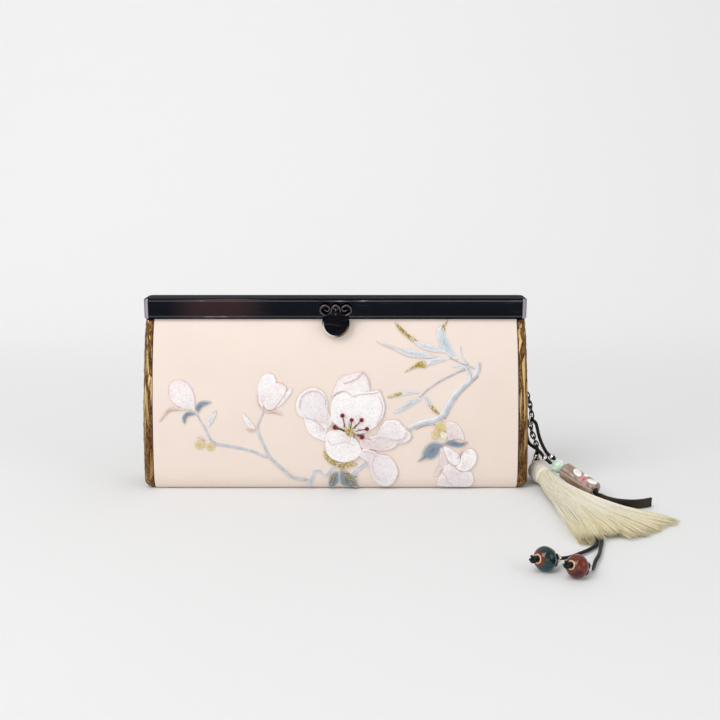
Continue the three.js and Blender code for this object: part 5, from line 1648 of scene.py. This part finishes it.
@dataclass
class SideLeather:
    """The folding side of bronze leather, at one end of the purse."""

    finishes: Finishes
    panel: Panel
    end: int
    leather: float = 1.2
    gap: float = 0.3
    reach_top: float = 4.1
    reach_base: float = 5.4
    fold: float = 6.5
    seat: float = 0.9
    foot: float = 4.0
    width: tuple[Point, ...] = ((0, 1, 0), (0.5, 1.02, 0), (0.88, 0.9, 0), (1, 0.7, 0), (0.94, 0.5, 0.14),
                                (0.9, 0.28, 0.62), (0.9, 0, 1))

    def sheet(self) -> tuple[Array, Array]:
        """The leather's outer face.

        Across, it follows the shares of reach and depth, with the fold pushed in between them; down, the fold grows
        to the top and the foot rounds in on a quarter circle; sines of several lengths crinkle it.

        Returns:
            The points in rows and columns, and their place in metres.
        """
        half = [(*row, -1.0) for row in self.width]
        columns = half + [(*row, 1.0) for row in self.width[-2::-1]]
        shares = np.array([(reach, side * depth, fold) for reach, depth, fold, side in columns])
        across = evenly(curve(shares, 10), 96)
        reach, depth, fold = across.T
        top = self.panel.frame_bottom - self.gap
        z = np.concatenate([np.linspace(top, 0.26 * top, 80), np.linspace(0.26 * top, self.foot, 24)[1:]])
        foot = np.linspace(0, math.pi / 2, 10)[1:]
        z = np.concatenate([z, self.foot * (1 - np.sin(foot))])
        spread = np.concatenate([np.ones(103), np.cos(foot) * 0.94 + 0.06])[:, None]
        folding = np.where(z > 0.26 * top, z / top, 0.26 * smooth((z - self.foot) / (0.26 * top - self.foot))
                           + 0.05)
        down = self.panel.profile[::-1]
        seat = -np.interp(z, down[:, 1], down[:, 0]) - self.seat
        seat = np.where(z < 12, np.maximum(seat, self.panel.base_half_depth - self.seat), seat)[:, None]
        out = self.reach_base + (self.reach_top - self.reach_base) * (z / self.panel.frame_bottom) ** 2
        x = self.gap + spread * (reach * out[:, None] - fold * (folding * self.fold)[:, None])
        y = depth * seat
        a, b = y, z[:, None]
        crinkle = (0.5 * np.sin(a * 1.3 + 2.1 * np.sin(b * 0.21)) * np.sin(b * 0.37 + a * 0.5)
                   + 0.35 * np.sin(a * 2.9 + b * 0.6) * np.sin(b * 0.9 - a * 1.1 + 1.0)
                   + 0.3 * np.sin(a * 4.7 + 1.5 * np.sin(b * 0.5)))
        calm = smooth((1 - np.abs(depth)) / 0.12) * np.ones_like(b)
        x = x + 0.22 * crinkle * calm * smooth(b / 3)
        points = np.stack([self.end * (self.panel.half_width(b)
                                       + x), y * np.ones_like(b), b * np.ones_like(y)], -1)
        place = stacked(y, b) * MM
        return points, place

    def build(self) -> None:
        """Builds the side."""
        points, place = self.sheet()
        if self.end < 0:
            points, place = points[:, ::-1], place[:, ::-1]
        name = "gusset_left" if self.end < 0 else "gusset_right"
        piece(name + "_leather", walled(points, self.leather, place), self.finishes.bronze,
              [name])


@dataclass
class PurseFrame:
    """The metal frame, its rivets, and the clasp's plate and pin, which keep their solids, and the press lever."""

    finishes: Finishes
    centre: float = 0.3
    lever_back: float = -11.0
    depth: float = 1.6
    scroll_z: float = 94.6
    scroll_width: float = 16.6
    scroll_height: float = 6.2
    wire: float = 1.1
    button_radius: float = 7.0
    button_drop: float = 6.8
    rim: float = 0.9

    def volute(self, side: int) -> Array:
        """One scroll of the ornament, rising from the button and curling in."""
        w, h = (self.scroll_width - self.wire) / 2, (self.scroll_height - self.wire) / 2
        shares = np.array([(0.3, -0.9), (0.62, -1), (0.95,
                                                     -0.45), (1, 0.35), (0.74, 1), (0.42, 0.55), (0.5, -0.15),
                           (0.72, 0.05)])
        return shares * [side * w, h]

    def arch(self) -> Array:
        """The pointed arch between the scrolls."""
        w, h = (self.scroll_width - self.wire) / 2, (self.scroll_height - self.wire) / 2
        return np.array([(-0.3, -0.9), (-0.27, 0.4), (0, 1), (0.27, 0.4), (0.3, -0.9)]) * [w, h]

    def bar(self, flat: Array) -> Grid:
        """A rounded bar bent along a flat line on the lever's back plane, with leaf-shaped swelling."""
        middle = np.stack([self.centre + flat[:, 0], np.full(len(flat), self.lever_back - self.depth / 2),
                           self.scroll_z + flat[:, 1]], 1)
        line = evenly(curve(middle, 16), 70)
        share = np.linspace(0, 1, len(line))
        return tube(line, self.wire / 2 * (0.8 + 0.25 * np.sin(math.pi * share)), FORWARD, 12,
                    self.depth / self.wire)

    def lever(self) -> None:
        """The press lever: a turned button with a bevelled rim under the scrolls, and the boss behind them; the rim
        carries painted reflections.
        """
        r, d = self.button_radius, self.depth
        profile = [(0, 0), (r - 0.4, 0), (r - 0.1, 0.1), (r,
                                                          0.35), (r, d * 0.5), (r - 0.15, d * 0.75),
                                                          (r - self.rim, d + 0.2),
                   (r - 1.15 * self.rim, d + 0.2), (r - 1.5 * self.rim, d), (r - 2 * self.rim, d - 0.02),
                   (0, d - 0.02)]
        button = turned(profile, (self.centre, self.lever_back, self.scroll_z - self.button_drop), (0, -1, 0),
                        96)
        turn = (np.arange(96) / 96 * TAU)[None, :, None]
        # painted reflections on the rim: a white crescent at the lower left and a tan one at the lower right
        near = [smooth((np.cos(turn - low) - reach)
                       / (1 - reach)) for low, reach in ((-math.pi / 4, 0.45), (-2.4, 0.8))]
        dark, painted_rim_glint, painted_tan_reflection, cast = (np.asarray(shade(*c)) for c in ((17, 18, 23), (250, 246, 244), (150, 118, 88), (88, 82, 82)))
        rim = (np.arange(len(profile)) > 2) & (np.arange(len(profile)) < 7)
        colour = dark + rim[:, None, None] * (near[0] * (painted_rim_glint - dark) + near[1] * (painted_tan_reflection - dark))
        button.tint = np.concatenate([colour, np.ones((*colour.shape[:2], 1))], -1)
        boss = tube(np.array([[self.centre - 2.6, -9.5, self.scroll_z], [self.centre, -9.5, self.scroll_z],
                              [self.centre + 2.6, -9.5, self.scroll_z]]), 1.2, (0, 0, 1), 24)
        web = tube(np.array([[self.centre, self.lever_back - 0.4, self.scroll_z - 2.4],
                             [self.centre, self.lever_back - 0.3, self.scroll_z],
                             [self.centre, self.lever_back - 0.1, self.scroll_z + 1.1]]),
                   np.array([1.4, 1.2, 0.8]), (1, 0, 0), 16, 0.5)
        bars = [self.bar(self.volute(-1)), self.bar(self.volute(1)), self.bar(self.arch())]
        for grid in (boss, web, *bars):
            grid.tint = np.ones((*grid.points.shape[:2], 4)) * [*cast, 1.0]
        piece("clasp_press", [button, boss, web, *bars], self.finishes.cast_nickel,
              ["clasp_lever"], "clasp")

    def build(self) -> None:
        """Dresses the solids that stay and builds the lever."""
        for node in ("frame_front", "frame_back", "hinge_pin_left", "hinge_pin_right", "clasp_plate",
                     "clasp_pin"):
            keep_solid(node, self.finishes.black_nickel)
        self.lever()


@dataclass
class Chains:
    """Both chains of oval links, and the two rings."""

    finishes: Finishes
    link_width: float = 3.0
    wire: float = 0.36
    pitch: float = 2.6
    bite: float = 0.08
    silver_at: Point = (104.1, 3.2, 33.4)
    silver_axis: Point = (0.8, -0.6, 0.0)
    gold_at: Point = (107.84, 6.91, 9.19)
    gold_tangent: Point = (0.75, 0.66, 0.0)
    gold_lean: Point = (0.15, -0.1, 0.98)
    frame_route: tuple[Point, ...] = ((94, 9.85, 91.55), (94.4, 11.3, 88.4), (96.4, 12.4, 78),
                                      (98.4, 13.4, 66),
                                      (99.9, 13.6, 57), (101.1, 12, 50.6), (102.4, 8.4, 45.6),
                                      (103.4, 5.2, 41),
                                      (104.1, 3.2, 36.4))
    tassel_route: tuple[Point, ...] = ((103.5, 2.4, 30.55), (104.5, 2.3, 26.4), (106.3, 2.9, 22),
                                       (107.9, 4.6, 17.6),
                                       (108.3, 6.6, 13.6), (107.9, 6.7, 12.4))

    def links(self, route: Sequence[Point], start_side: Array, end_side: Array) -> Grid:
        """Oval links in turn along a route, each a quarter turn on from the last.

        A link is a ring stretched along the route; its roll goes evenly from the first side to the last.

        Args:
            route: the points that the chain runs through.
            start_side: the first link's flat side.
            end_side: the last link's flat side.

        Returns:
            All the links in one grid.
        """
        line = curve(route, 60)
        total = float(lengths(line)[-1])
        count = max(2, round(total / self.pitch))
        pitch = total / (count - 1)
        radius = self.link_width / 2 - self.wire
        stretch = (pitch - self.bite) / (2 * (radius - self.wire))
        centres = evenly(line, count)
        run = lengths(line)
        at = np.linspace(0, total, count)
        along = unit(np.stack([np.interp(at, run, tangents(line)[:, k]) for k in range(3)], 1))
        y = np.array([0.0, 1.0, 0.0])
        base = unit(y - along * along[:, 1:2])
        other = np.cross(along, base)

        def roll_of(side: Array, k: int) -> float:
            """The roll at which a link's side faces a direction."""
            flat = side - along[k] * float(side @ along[k])
            return math.atan2(float(flat @ other[k]), float(flat @ base[k]))

        first, last = roll_of(start_side, 0), roll_of(end_side, -1)
        twist = last - first - (count - 1) * math.pi / 2
        twist -= math.pi * round(twist / math.pi)
        k = np.arange(count)
        roll = first + k * math.pi / 2 + twist * k / (count - 1)
        side = np.cos(roll)[:, None] * base + np.sin(roll)[:, None] * other
        rise = np.cross(along, side)
        a = (np.arange(28) / 28 * TAU)[:, None]
        b = (np.arange(10) / 10 * TAU)[None, :]
        x, s, h = (radius + self.wire
                   * np.cos(b)) * np.cos(a) * stretch, (radius + self.wire
                                                        * np.cos(b)) * np.sin(a), self.wire * np.sin(b)
        h = np.broadcast_to(h, x.shape)
        points = (centres[:, None, None] + x[None, ..., None] * along[:, None, None] + s[None, ..., None]
                  * side[:, None, None]
                  + h[None, ..., None] * rise[:, None, None])
        return Grid(points, round_columns=True, round_rows=True)

    def build(self) -> None:
        """Builds both chains and both rings."""
        silver, tangent, lean = (np.asarray(v, float) for v in (self.silver_axis, self.gold_tangent,
                                                                self.gold_lean))
        gold = unit(np.cross(unit(tangent), unit(lean)))
        steel = self.finishes.dark_steel
        piece("frame_chain_links", [self.links(self.frame_route, np.array([1.0, 0.0, 0.0]), silver)], steel,
              ["frame_chain"])
        piece("tassel_chain_links", [self.links(self.tassel_route, silver, gold)], steel,
              ["tassel_chain"])
        piece("silver_ring_round", [torus(2.6, 0.42, self.silver_at, silver)], self.finishes.silver,
              ["silver_ring"])
        piece("gold_ring_round", [torus(2.8, 0.42, self.gold_at, gold)], self.finishes.gold,
              ["gold_ring"])


@dataclass
class BeadString:
    """The mint bead, the clay tube bead with its blossom, and the olive strap."""

    finishes: Finishes
    tube_start: Point = (119.0, -14.3, 11.1)
    tube_end: Point = (131.9, -29.4, 4.8)
    mint_radius: float = 3.7
    tube_radius: float = 4.4
    bore: float = 1.6
    edge: float = 1.0
    strap_route: tuple[Point, ...] = ((131.9, -29.4, 3.2), (134, -35.6, 2.8), (138.7, -40.6, 2.7),
                                      (146, -42.8, 2.7),
                                      (151.5, -42, 2.7), (157.3, -39.5, 2.7))
    strap_width: float = 4.8
    strap_thickness: float = 1.2

    @property
    def axis(self) -> Array:
        """The string's direction, from the tube's end to its start."""
        return unit(np.asarray(self.tube_start, float) - np.asarray(self.tube_end, float))

    @property
    def length(self) -> float:
        """The tube's length."""
        return float(np.linalg.norm(np.asarray(self.tube_start, float) - np.asarray(self.tube_end, float)))

    def mint(self) -> None:
        """The mint bead: a ball with a rolled hole."""
        start = math.asin(self.bore / self.mint_radius)
        a = np.linspace(start, math.pi - start, 30)
        outside = [(self.mint_radius * math.sin(t), -self.mint_radius * math.cos(t)) for t in a]
        reach = outside[-1][1]
        centre = np.asarray(self.tube_start, float) + self.axis * (0.3 + self.mint_radius)
        grids = [turned(outside, centre, self.axis, 56), turned([(self.bore, reach), (self.bore, -reach)],
                                                                centre, self.axis, 56)]
        piece("mint_ball", grids, self.finishes.mint, ["mint_bead"])

    def tube_body(self) -> Grid:
        """The tube: a hand-rolled cylinder, a little full in the middle, with rounded mouths and shallow dents."""
        r, e, length = self.tube_radius, self.edge, self.length
        corner = [(r - e + e * math.sin(t), e - e * math.cos(t)) for t in np.linspace(0, math.pi / 2, 7)]
        middle = [(r * (1 + 0.03 * math.sin(math.pi * t)), e + t
                   * (length - 2 * e)) for t in np.linspace(0, 1, 30)[1:-1]]
        profile = [(self.bore, 0.3), (self.bore + 0.3,
                                      0), *corner, *middle, *[(x, length - h) for x, h in corner[::-1]],
                   (self.bore + 0.3, length), (self.bore, length - 0.3)]
        profile += [(self.bore, length * t) for t in np.linspace(0.9, 0.02, 8)] + [(self.bore, 0.3)]
        grid = turned(profile, self.tube_end, self.axis, 72)
        radius = np.array(profile)[:, 0]
        share = np.clip(np.array(profile)[:, 1] / length, 0, 1)[:, None]
        turn = (np.arange(72) / 72 * TAU)[None, :]
        outside = (radius > self.tube_radius * 0.9)[:, None]
        dent = 0.1 * np.sin(turn * 2 + share * 7) * np.sin(share * 13
                                                           + turn) + 0.05 * np.sin(turn * 7 + share * 31)
        _, side, rise = turned_to(self.axis)
        out = np.cos(turn)[..., None] * side + np.sin(turn)[..., None] * rise
        grid.points = grid.points + np.where(outside, dent, 0)[..., None] * out
        taupe, rust, hole = (np.asarray(c) for c in (shade(172, 153, 138), shade(168, 96, 52),
                                                     shade(60, 44, 36)))
        patch = 0.85 * np.exp(-(((share - 0.8) / 0.08) ** 2) - ((turn - 1.3) / 0.5) ** 2)
        colour = taupe + patch[..., None] * (rust - taupe)
        inside = ((radius < self.bore + 0.1)[:, None, None] * 1.0)
        colour = colour + inside * (hole - colour)
        grid.tint = np.concatenate([colour, np.ones((*colour.shape[:2], 1))], -1)
        return grid

    def petal(self, along: float, turn: float, heading: float, size: float,
              colours: tuple[Colour, Colour]) -> Grid:
        """A petal pressed onto the tube: a low dome with a notched tip and a crease down its middle.

        Args:
            along: its centre as a share of the tube's length.
            turn: how far round the tube its centre is, in radians.
            heading: the way it points, in radians from the tube's axis.
            size: its size as a share of the largest petal's.
            colours: its colour at the root and at the rim.

        Returns:
            Its closed grid.
        """
        axis = self.axis
        up = np.array([-0.35, -0.6, 0.72])
        up = unit(up - axis * float(up @ axis))
        side = np.cross(axis, up)
        a = (np.arange(56) / 56 * TAU)[None, :]
        s = np.linspace(0, 1, 12)[:, None]
        long = 3.2 * size * s * np.cos(a)
        wide = 1.8 * size * s * np.sin(a) * (1 + 0.25 * np.cos(a))
        lift = 0.85 * (1 - s**2.4) * (1 - 0.15 * np.exp(-((wide
                                                           / 0.3) ** 2))) + 0.12 * np.exp(-(((s - 0.9) / 0.08) ** 2))
        dx = long * math.cos(heading) - wide * math.sin(heading)
        dy = long * math.sin(heading) + wide * math.cos(heading)
        angle = turn - dy / self.tube_radius
        radius = self.tube_radius * 1.02 + lift
        centre = np.asarray(self.tube_end, float) + (along * self.length + dx)[..., None] * axis
        out = np.cos(angle)[..., None] * up - np.sin(angle)[..., None] * side
        points = centre + radius[..., None] * out
        under = centre[[-1, 0]] + self.tube_radius * 0.93 * out[[-1, 0]]
        root, rim = (np.asarray(c) for c in colours)
        colour = root + smooth((s[..., None] - 0.1) / 0.7) * (rim - root) * np.ones((1, 56, 1))
        colour = np.concatenate([colour, colour[[-1, 0]]])
        tint = np.concatenate([colour, np.zeros((*colour.shape[:2], 1))], -1)
        return Grid(np.concatenate([points, under]), None, tint, round_columns=True)

    def tube_bead(self) -> None:
        """The clay tube and its blossom."""
        white, pale, pink, rose = shade(244, 241, 238), shade(222, 214,
                                                              208), shade(226, 158, 164), shade(196, 112, 116)
        petals = [self.petal(0.57, -0.34, 0.4, 1.0,
                             (pale, white)), self.petal(0.38, -0.95, 1.6, 0.8, (pale, white)),
                  self.petal(0.14, -0.45, 2.7, 0.85, (pale, white))]
        heart = [self.petal(0.34 + 0.075 * math.cos(a), -0.05 + 0.27 * math.sin(a), a, 0.36, (rose, pink))
                 for a in np.arange(5) / 5 * TAU]
        petals += [*heart, self.petal(0.34, -0.05, 0.0, 0.26, (rose, rose))]
        piece("clay_tube", [self.tube_body(), *petals], self.finishes.clay, ["tube_bead"])

    def strap(self) -> None:
        """The strap on its edge: a flat band with rounded edges that grows from the bead's mouth, and its core."""
        line = evenly(curve(self.strap_route, 20), 60)
        along = tangents(line)
        across = unit(np.stack([-along[:, 1], along[:, 0], 0 * along[:, 0]], 1))
        share = np.linspace(0, 1, 60)
        half = self.strap_width / 2 * np.minimum(1, 0.5 + 3 * share)
        t = self.strap_thickness / 2
        a = np.arange(28) / 28 * TAU
        flat, tall = np.sign(np.cos(a)) * np.abs(np.cos(a)) ** 0.6, np.sign(np.sin(a)) * np.abs(np.sin(a)) ** 0.35
        curl = 0.25 * np.sin(share * 5 + 0.5)[:, None] * tall[None, :] ** 2
        points = (line[:, None] + (t * flat[None, :] + curl)[..., None] * across[:, None]
                  + (half[:, None] * tall[None, :])[..., None] * UP)
        points = np.concatenate([points[:1] * 0 + line[0], points, points[-1:] * 0 + line[-1]])
        start = np.asarray(self.tube_start, float)
        core = np.stack([start + self.axis * d for d in np.linspace(0.3 + 2 * self.mint_radius - 1, -self.length - 1, 12)])
        piece("olive_strap", [Grid(points, round_columns=True), tube(core, 1.2, UP, 16)],
              self.finishes.strap_leather,
              ["leather_strap"])

    def build(self) -> None:
        """Builds the string's pieces."""
        self.mint()
        self.tube_bead()
        self.strap()


@dataclass
class Tassel:
    """The tassel: an eye, a wound head with a bound neck, and strands that spread over the floor in locks."""

    finishes: Finishes
    tip: Point = (107.6, 6.0, 6.05)
    neck: Point = (110.2, -11.0, 6.05)
    head_radius: float = 5.75
    head_length: float = 17.0
    neck_radius: float = 4.7
    fibre: float = 83.0
    stub: float = 1.5
    bridge: float = 2.5
    strands: int = 165
    stations: int = 15
    strand_radius: float = 0.3
    seed: int = 17
    locks: tuple[Point, ...] = ((4.5, 1, 0, 0.7), (3.5, 0.975, 1, 1), (-1.5, 0.91, 1, 1), (-7, 0.935, 1, 1),
                                (-13.5, 0.975, 0.6, 1), (-20.5, 0.955, 0.2, 1), (-28, 0.93, 0, 0.95),
                                (-35.5, 0.93, 0, 0.7))

    @property
    def heading(self) -> Array:
        """The head's direction, from its tip to its neck."""
        return unit(np.asarray(self.neck, float) - np.asarray(self.tip, float))

    def head(self) -> None:
        """The wound head: a turned form whose threads run from tip to neck as flutes, bound by six turns of thread."""
        length, stub, r = self.head_length, self.stub, self.head_radius
        profile = [(0, 0), (stub, 0.02), (stub, stub), (r * 0.66,
                                                        stub + 0.5), (r * 0.93, 4), (r, 7),
                                                        (r * 0.97, length - 6),
                   (self.neck_radius, length - 3.4), (self.neck_radius, length - 0.3),
                   (self.neck_radius - 0.5, length),
                   (self.neck_radius - 1.2, length - 1.5)]
        turn = np.arange(144) / 144 * TAU
        flutes = 1 + 0.013 * np.cos(turn * 36) + 0.008 * np.sin(turn * 7 + 1)
        body = turned(profile, self.tip, self.heading, 144, 8, flutes)
        share = np.linspace(0, 1, body.points.shape[0])[:, None, None]
        top, low, painted_sheen = (np.asarray(shade(*c)) for c in ((172, 168, 142), (250, 246, 232), (255, 255, 252)))
        colour = top + smooth((share - 0.3) / 0.3) * (low - top) * np.ones((1, 144, 1))
        # painted highlight: a pale glossy band round the head towards the neck
        colour = colour + np.exp(-(((share - 0.62) / 0.09) ** 2)) * (painted_sheen - colour)
        body.tint = np.concatenate([colour, np.ones((*colour.shape[:2], 1))], -1)
        t = np.linspace(0, 1, 220)
        along, side, rise = turned_to(self.heading)
        winding = (np.asarray(self.tip, float) + (length - 3.2 + 3.0 * t)[:, None] * along
                   + (self.neck_radius + 0.12)
                   * (np.cos(t * TAU * 6)[:, None] * side + np.sin(t * TAU * 6)[:, None] * rise))
        wound = tube(winding, 0.26, along, 8)
        wound.tint = np.ones((*wound.points.shape[:2], 4)) * [*shade(246, 241, 222), 1.0]
        eye_at = np.asarray(self.tip, float) - self.heading * 1.2 + UP * 0.4
        eye = torus(1.6, 0.6, eye_at, (0.75, 0.66, 0.0), 40, 12)
        eye.tint = np.ones((*eye.points.shape[:2], 4)) * [*shade(214, 206, 176), 1.0]
        piece("tassel_head", [body, wound, eye], self.finishes.fibre, ["tassel"])

    def facing(self, degrees: Array) -> Array:
        """The heading turned by angles about the upright."""
        a = -np.radians(np.asarray(degrees, float))
        x, y, _ = self.heading
        return np.stack([x * np.cos(a) - y * np.sin(a), x * np.sin(a) + y * np.cos(a), 0 * a], -1)

    def skirt(self) -> None:
        """The strands.

        A strand follows its lock's curve, which bends from the neck to the lock's tip, at its own offset across and
        up, and runs out a little before or after its neighbours; its radius falls to nothing at the tip.
        """
        rng = np.random.default_rng(self.seed)
        count = self.strands * len(self.locks)
        table = np.repeat(np.array(self.locks, float), self.strands, axis=0)
        turn, reach, lift, width = table.T
        across_at = rng.uniform(-1, 1, count)
        high_at = rng.uniform(0, 1, count)
        deep = np.sqrt(1 - across_at**2)
        neck = np.asarray(self.neck, float) - 2.2 * self.heading
        stray = rng.normal(0, 1, count)
        reach = reach * (1 - 0.07 * rng.random(count) ** 2)
        end = neck + self.facing(turn + stray * 0.35) * (reach * self.fibre)[:, None]
        bend = neck + self.facing(0.35 * turn) * (0.42 * reach * self.fibre)[:, None]
        s = np.linspace(0, 1, self.stations)
        t = s[None, :, None]
        line = (1 - t) ** 2 * neck + 2 * t * (1 - t) * bend[:, None] + t**2 * end[:, None]
        along = np.gradient(line, axis=1)
        along[..., 2] = 0
        along = unit(along)
        across = np.stack([-along[..., 1], along[..., 0], 0 * along[..., 0]], -1)
        half = 4.1 + (6.1 * width[:, None] - 4.1) * np.minimum(1, 1.5 * s)[None] ** 0.8
        tall = 3 + (0.9 - 3) * s[None] ** 0.8
        raised = np.maximum(lift[:, None], 1 - np.clip(2.2 * (s[None] - 0.25), 0, 1))
        fall = smooth((s[None] - 0.86) / 0.14)
        low = 0.35 + self.bridge * raised * (1 - 0.35 * fall)
        wave = 0.25 * np.sin(s[None] * (7 + 3 * stray[:, None]) + 9 * across_at[:, None]) * s[None]
        line[..., 2] = 0
        line = line + ((half * across_at[:, None] + wave)[..., None]) * across
        spread = low + tall * 1.84 * (high_at
                                      * deep)[:, None] + 0.1 * stray[:, None] * s[None] * np.sin(s[None] * 6)
        bound = neck[2] + 4.1 * ((2 * high_at - 1) * deep)[:, None]
        line[..., 2] = bound + smooth(s / 0.24)[None] * (spread - bound)
        line[..., 2] = np.maximum(line[..., 2], 0.32)
        direction = unit(np.gradient(line, axis=1))
        side = unit(np.cross(direction, UP))
        rise = np.cross(side, direction)
        radius = self.strand_radius * (1 - 0.25 * s) * np.where(s > 0.96, 0.02, 1.0)
        a = np.arange(4) / 4 * TAU + 0.4
        ring = np.cos(a)[:, None] * side[:, :, None] + np.sin(a)[:, None] * rise[:, :, None]
        points = line[:, :, None] + radius[None, :, None, None] * ring
        points[..., 2] = np.maximum(points[..., 2], 0.03)
        cream, yellow, pale = (np.asarray(c) for c in (shade(236, 231, 210), shade(230, 220, 178),
                                                       shade(248, 245, 234)))
        mixed = cream + rng.random(count)[:, None, None] * (pale - cream)
        # painted highlight: the outermost locks lightened almost to white
        mixed = mixed + (smooth((-turn - 22) / 12)
                         * 0.8)[:, None, None] * (np.asarray(shade(253, 250, 244)) - mixed)
        colour = mixed + (smooth((s - 0.6) / 0.4) * 0.8)[None, :, None] * (yellow - mixed)
        colour = np.broadcast_to(colour[:, :, None], (*points.shape[:3], 3))
        tint = np.concatenate([colour, np.ones((*points.shape[:3], 1))], -1)
        place = stacked(np.arange(5)[None, :] * 0.0005, (s * self.fibre * MM)[:, None])
        piece("tassel_skirt", [Grid(points, place, tint, round_columns=True)], self.finishes.fibre)

    def build(self) -> None:
        """Builds the head and the strands."""
        self.head()
        self.skirt()


def main() -> None:
    """Builds the studio, the cords and every sub-assembly."""
    logging.basicConfig(level=logging.INFO, format="%(message)s")
    Studio().build()
    finishes = Finishes()
    Cords(finishes).build(BallBeads(finishes))
    panel = Panel()
    SatinBody(finishes, panel).build()
    Embroidery(finishes, panel).build()
    for end in (-1, 1):
        SideLeather(finishes, panel, end).build()
    PurseFrame(finishes).build()
    Chains(finishes).build()
    BeadString(finishes).build()
    Tassel(finishes).build()


if __name__ == "__main__":
    main()
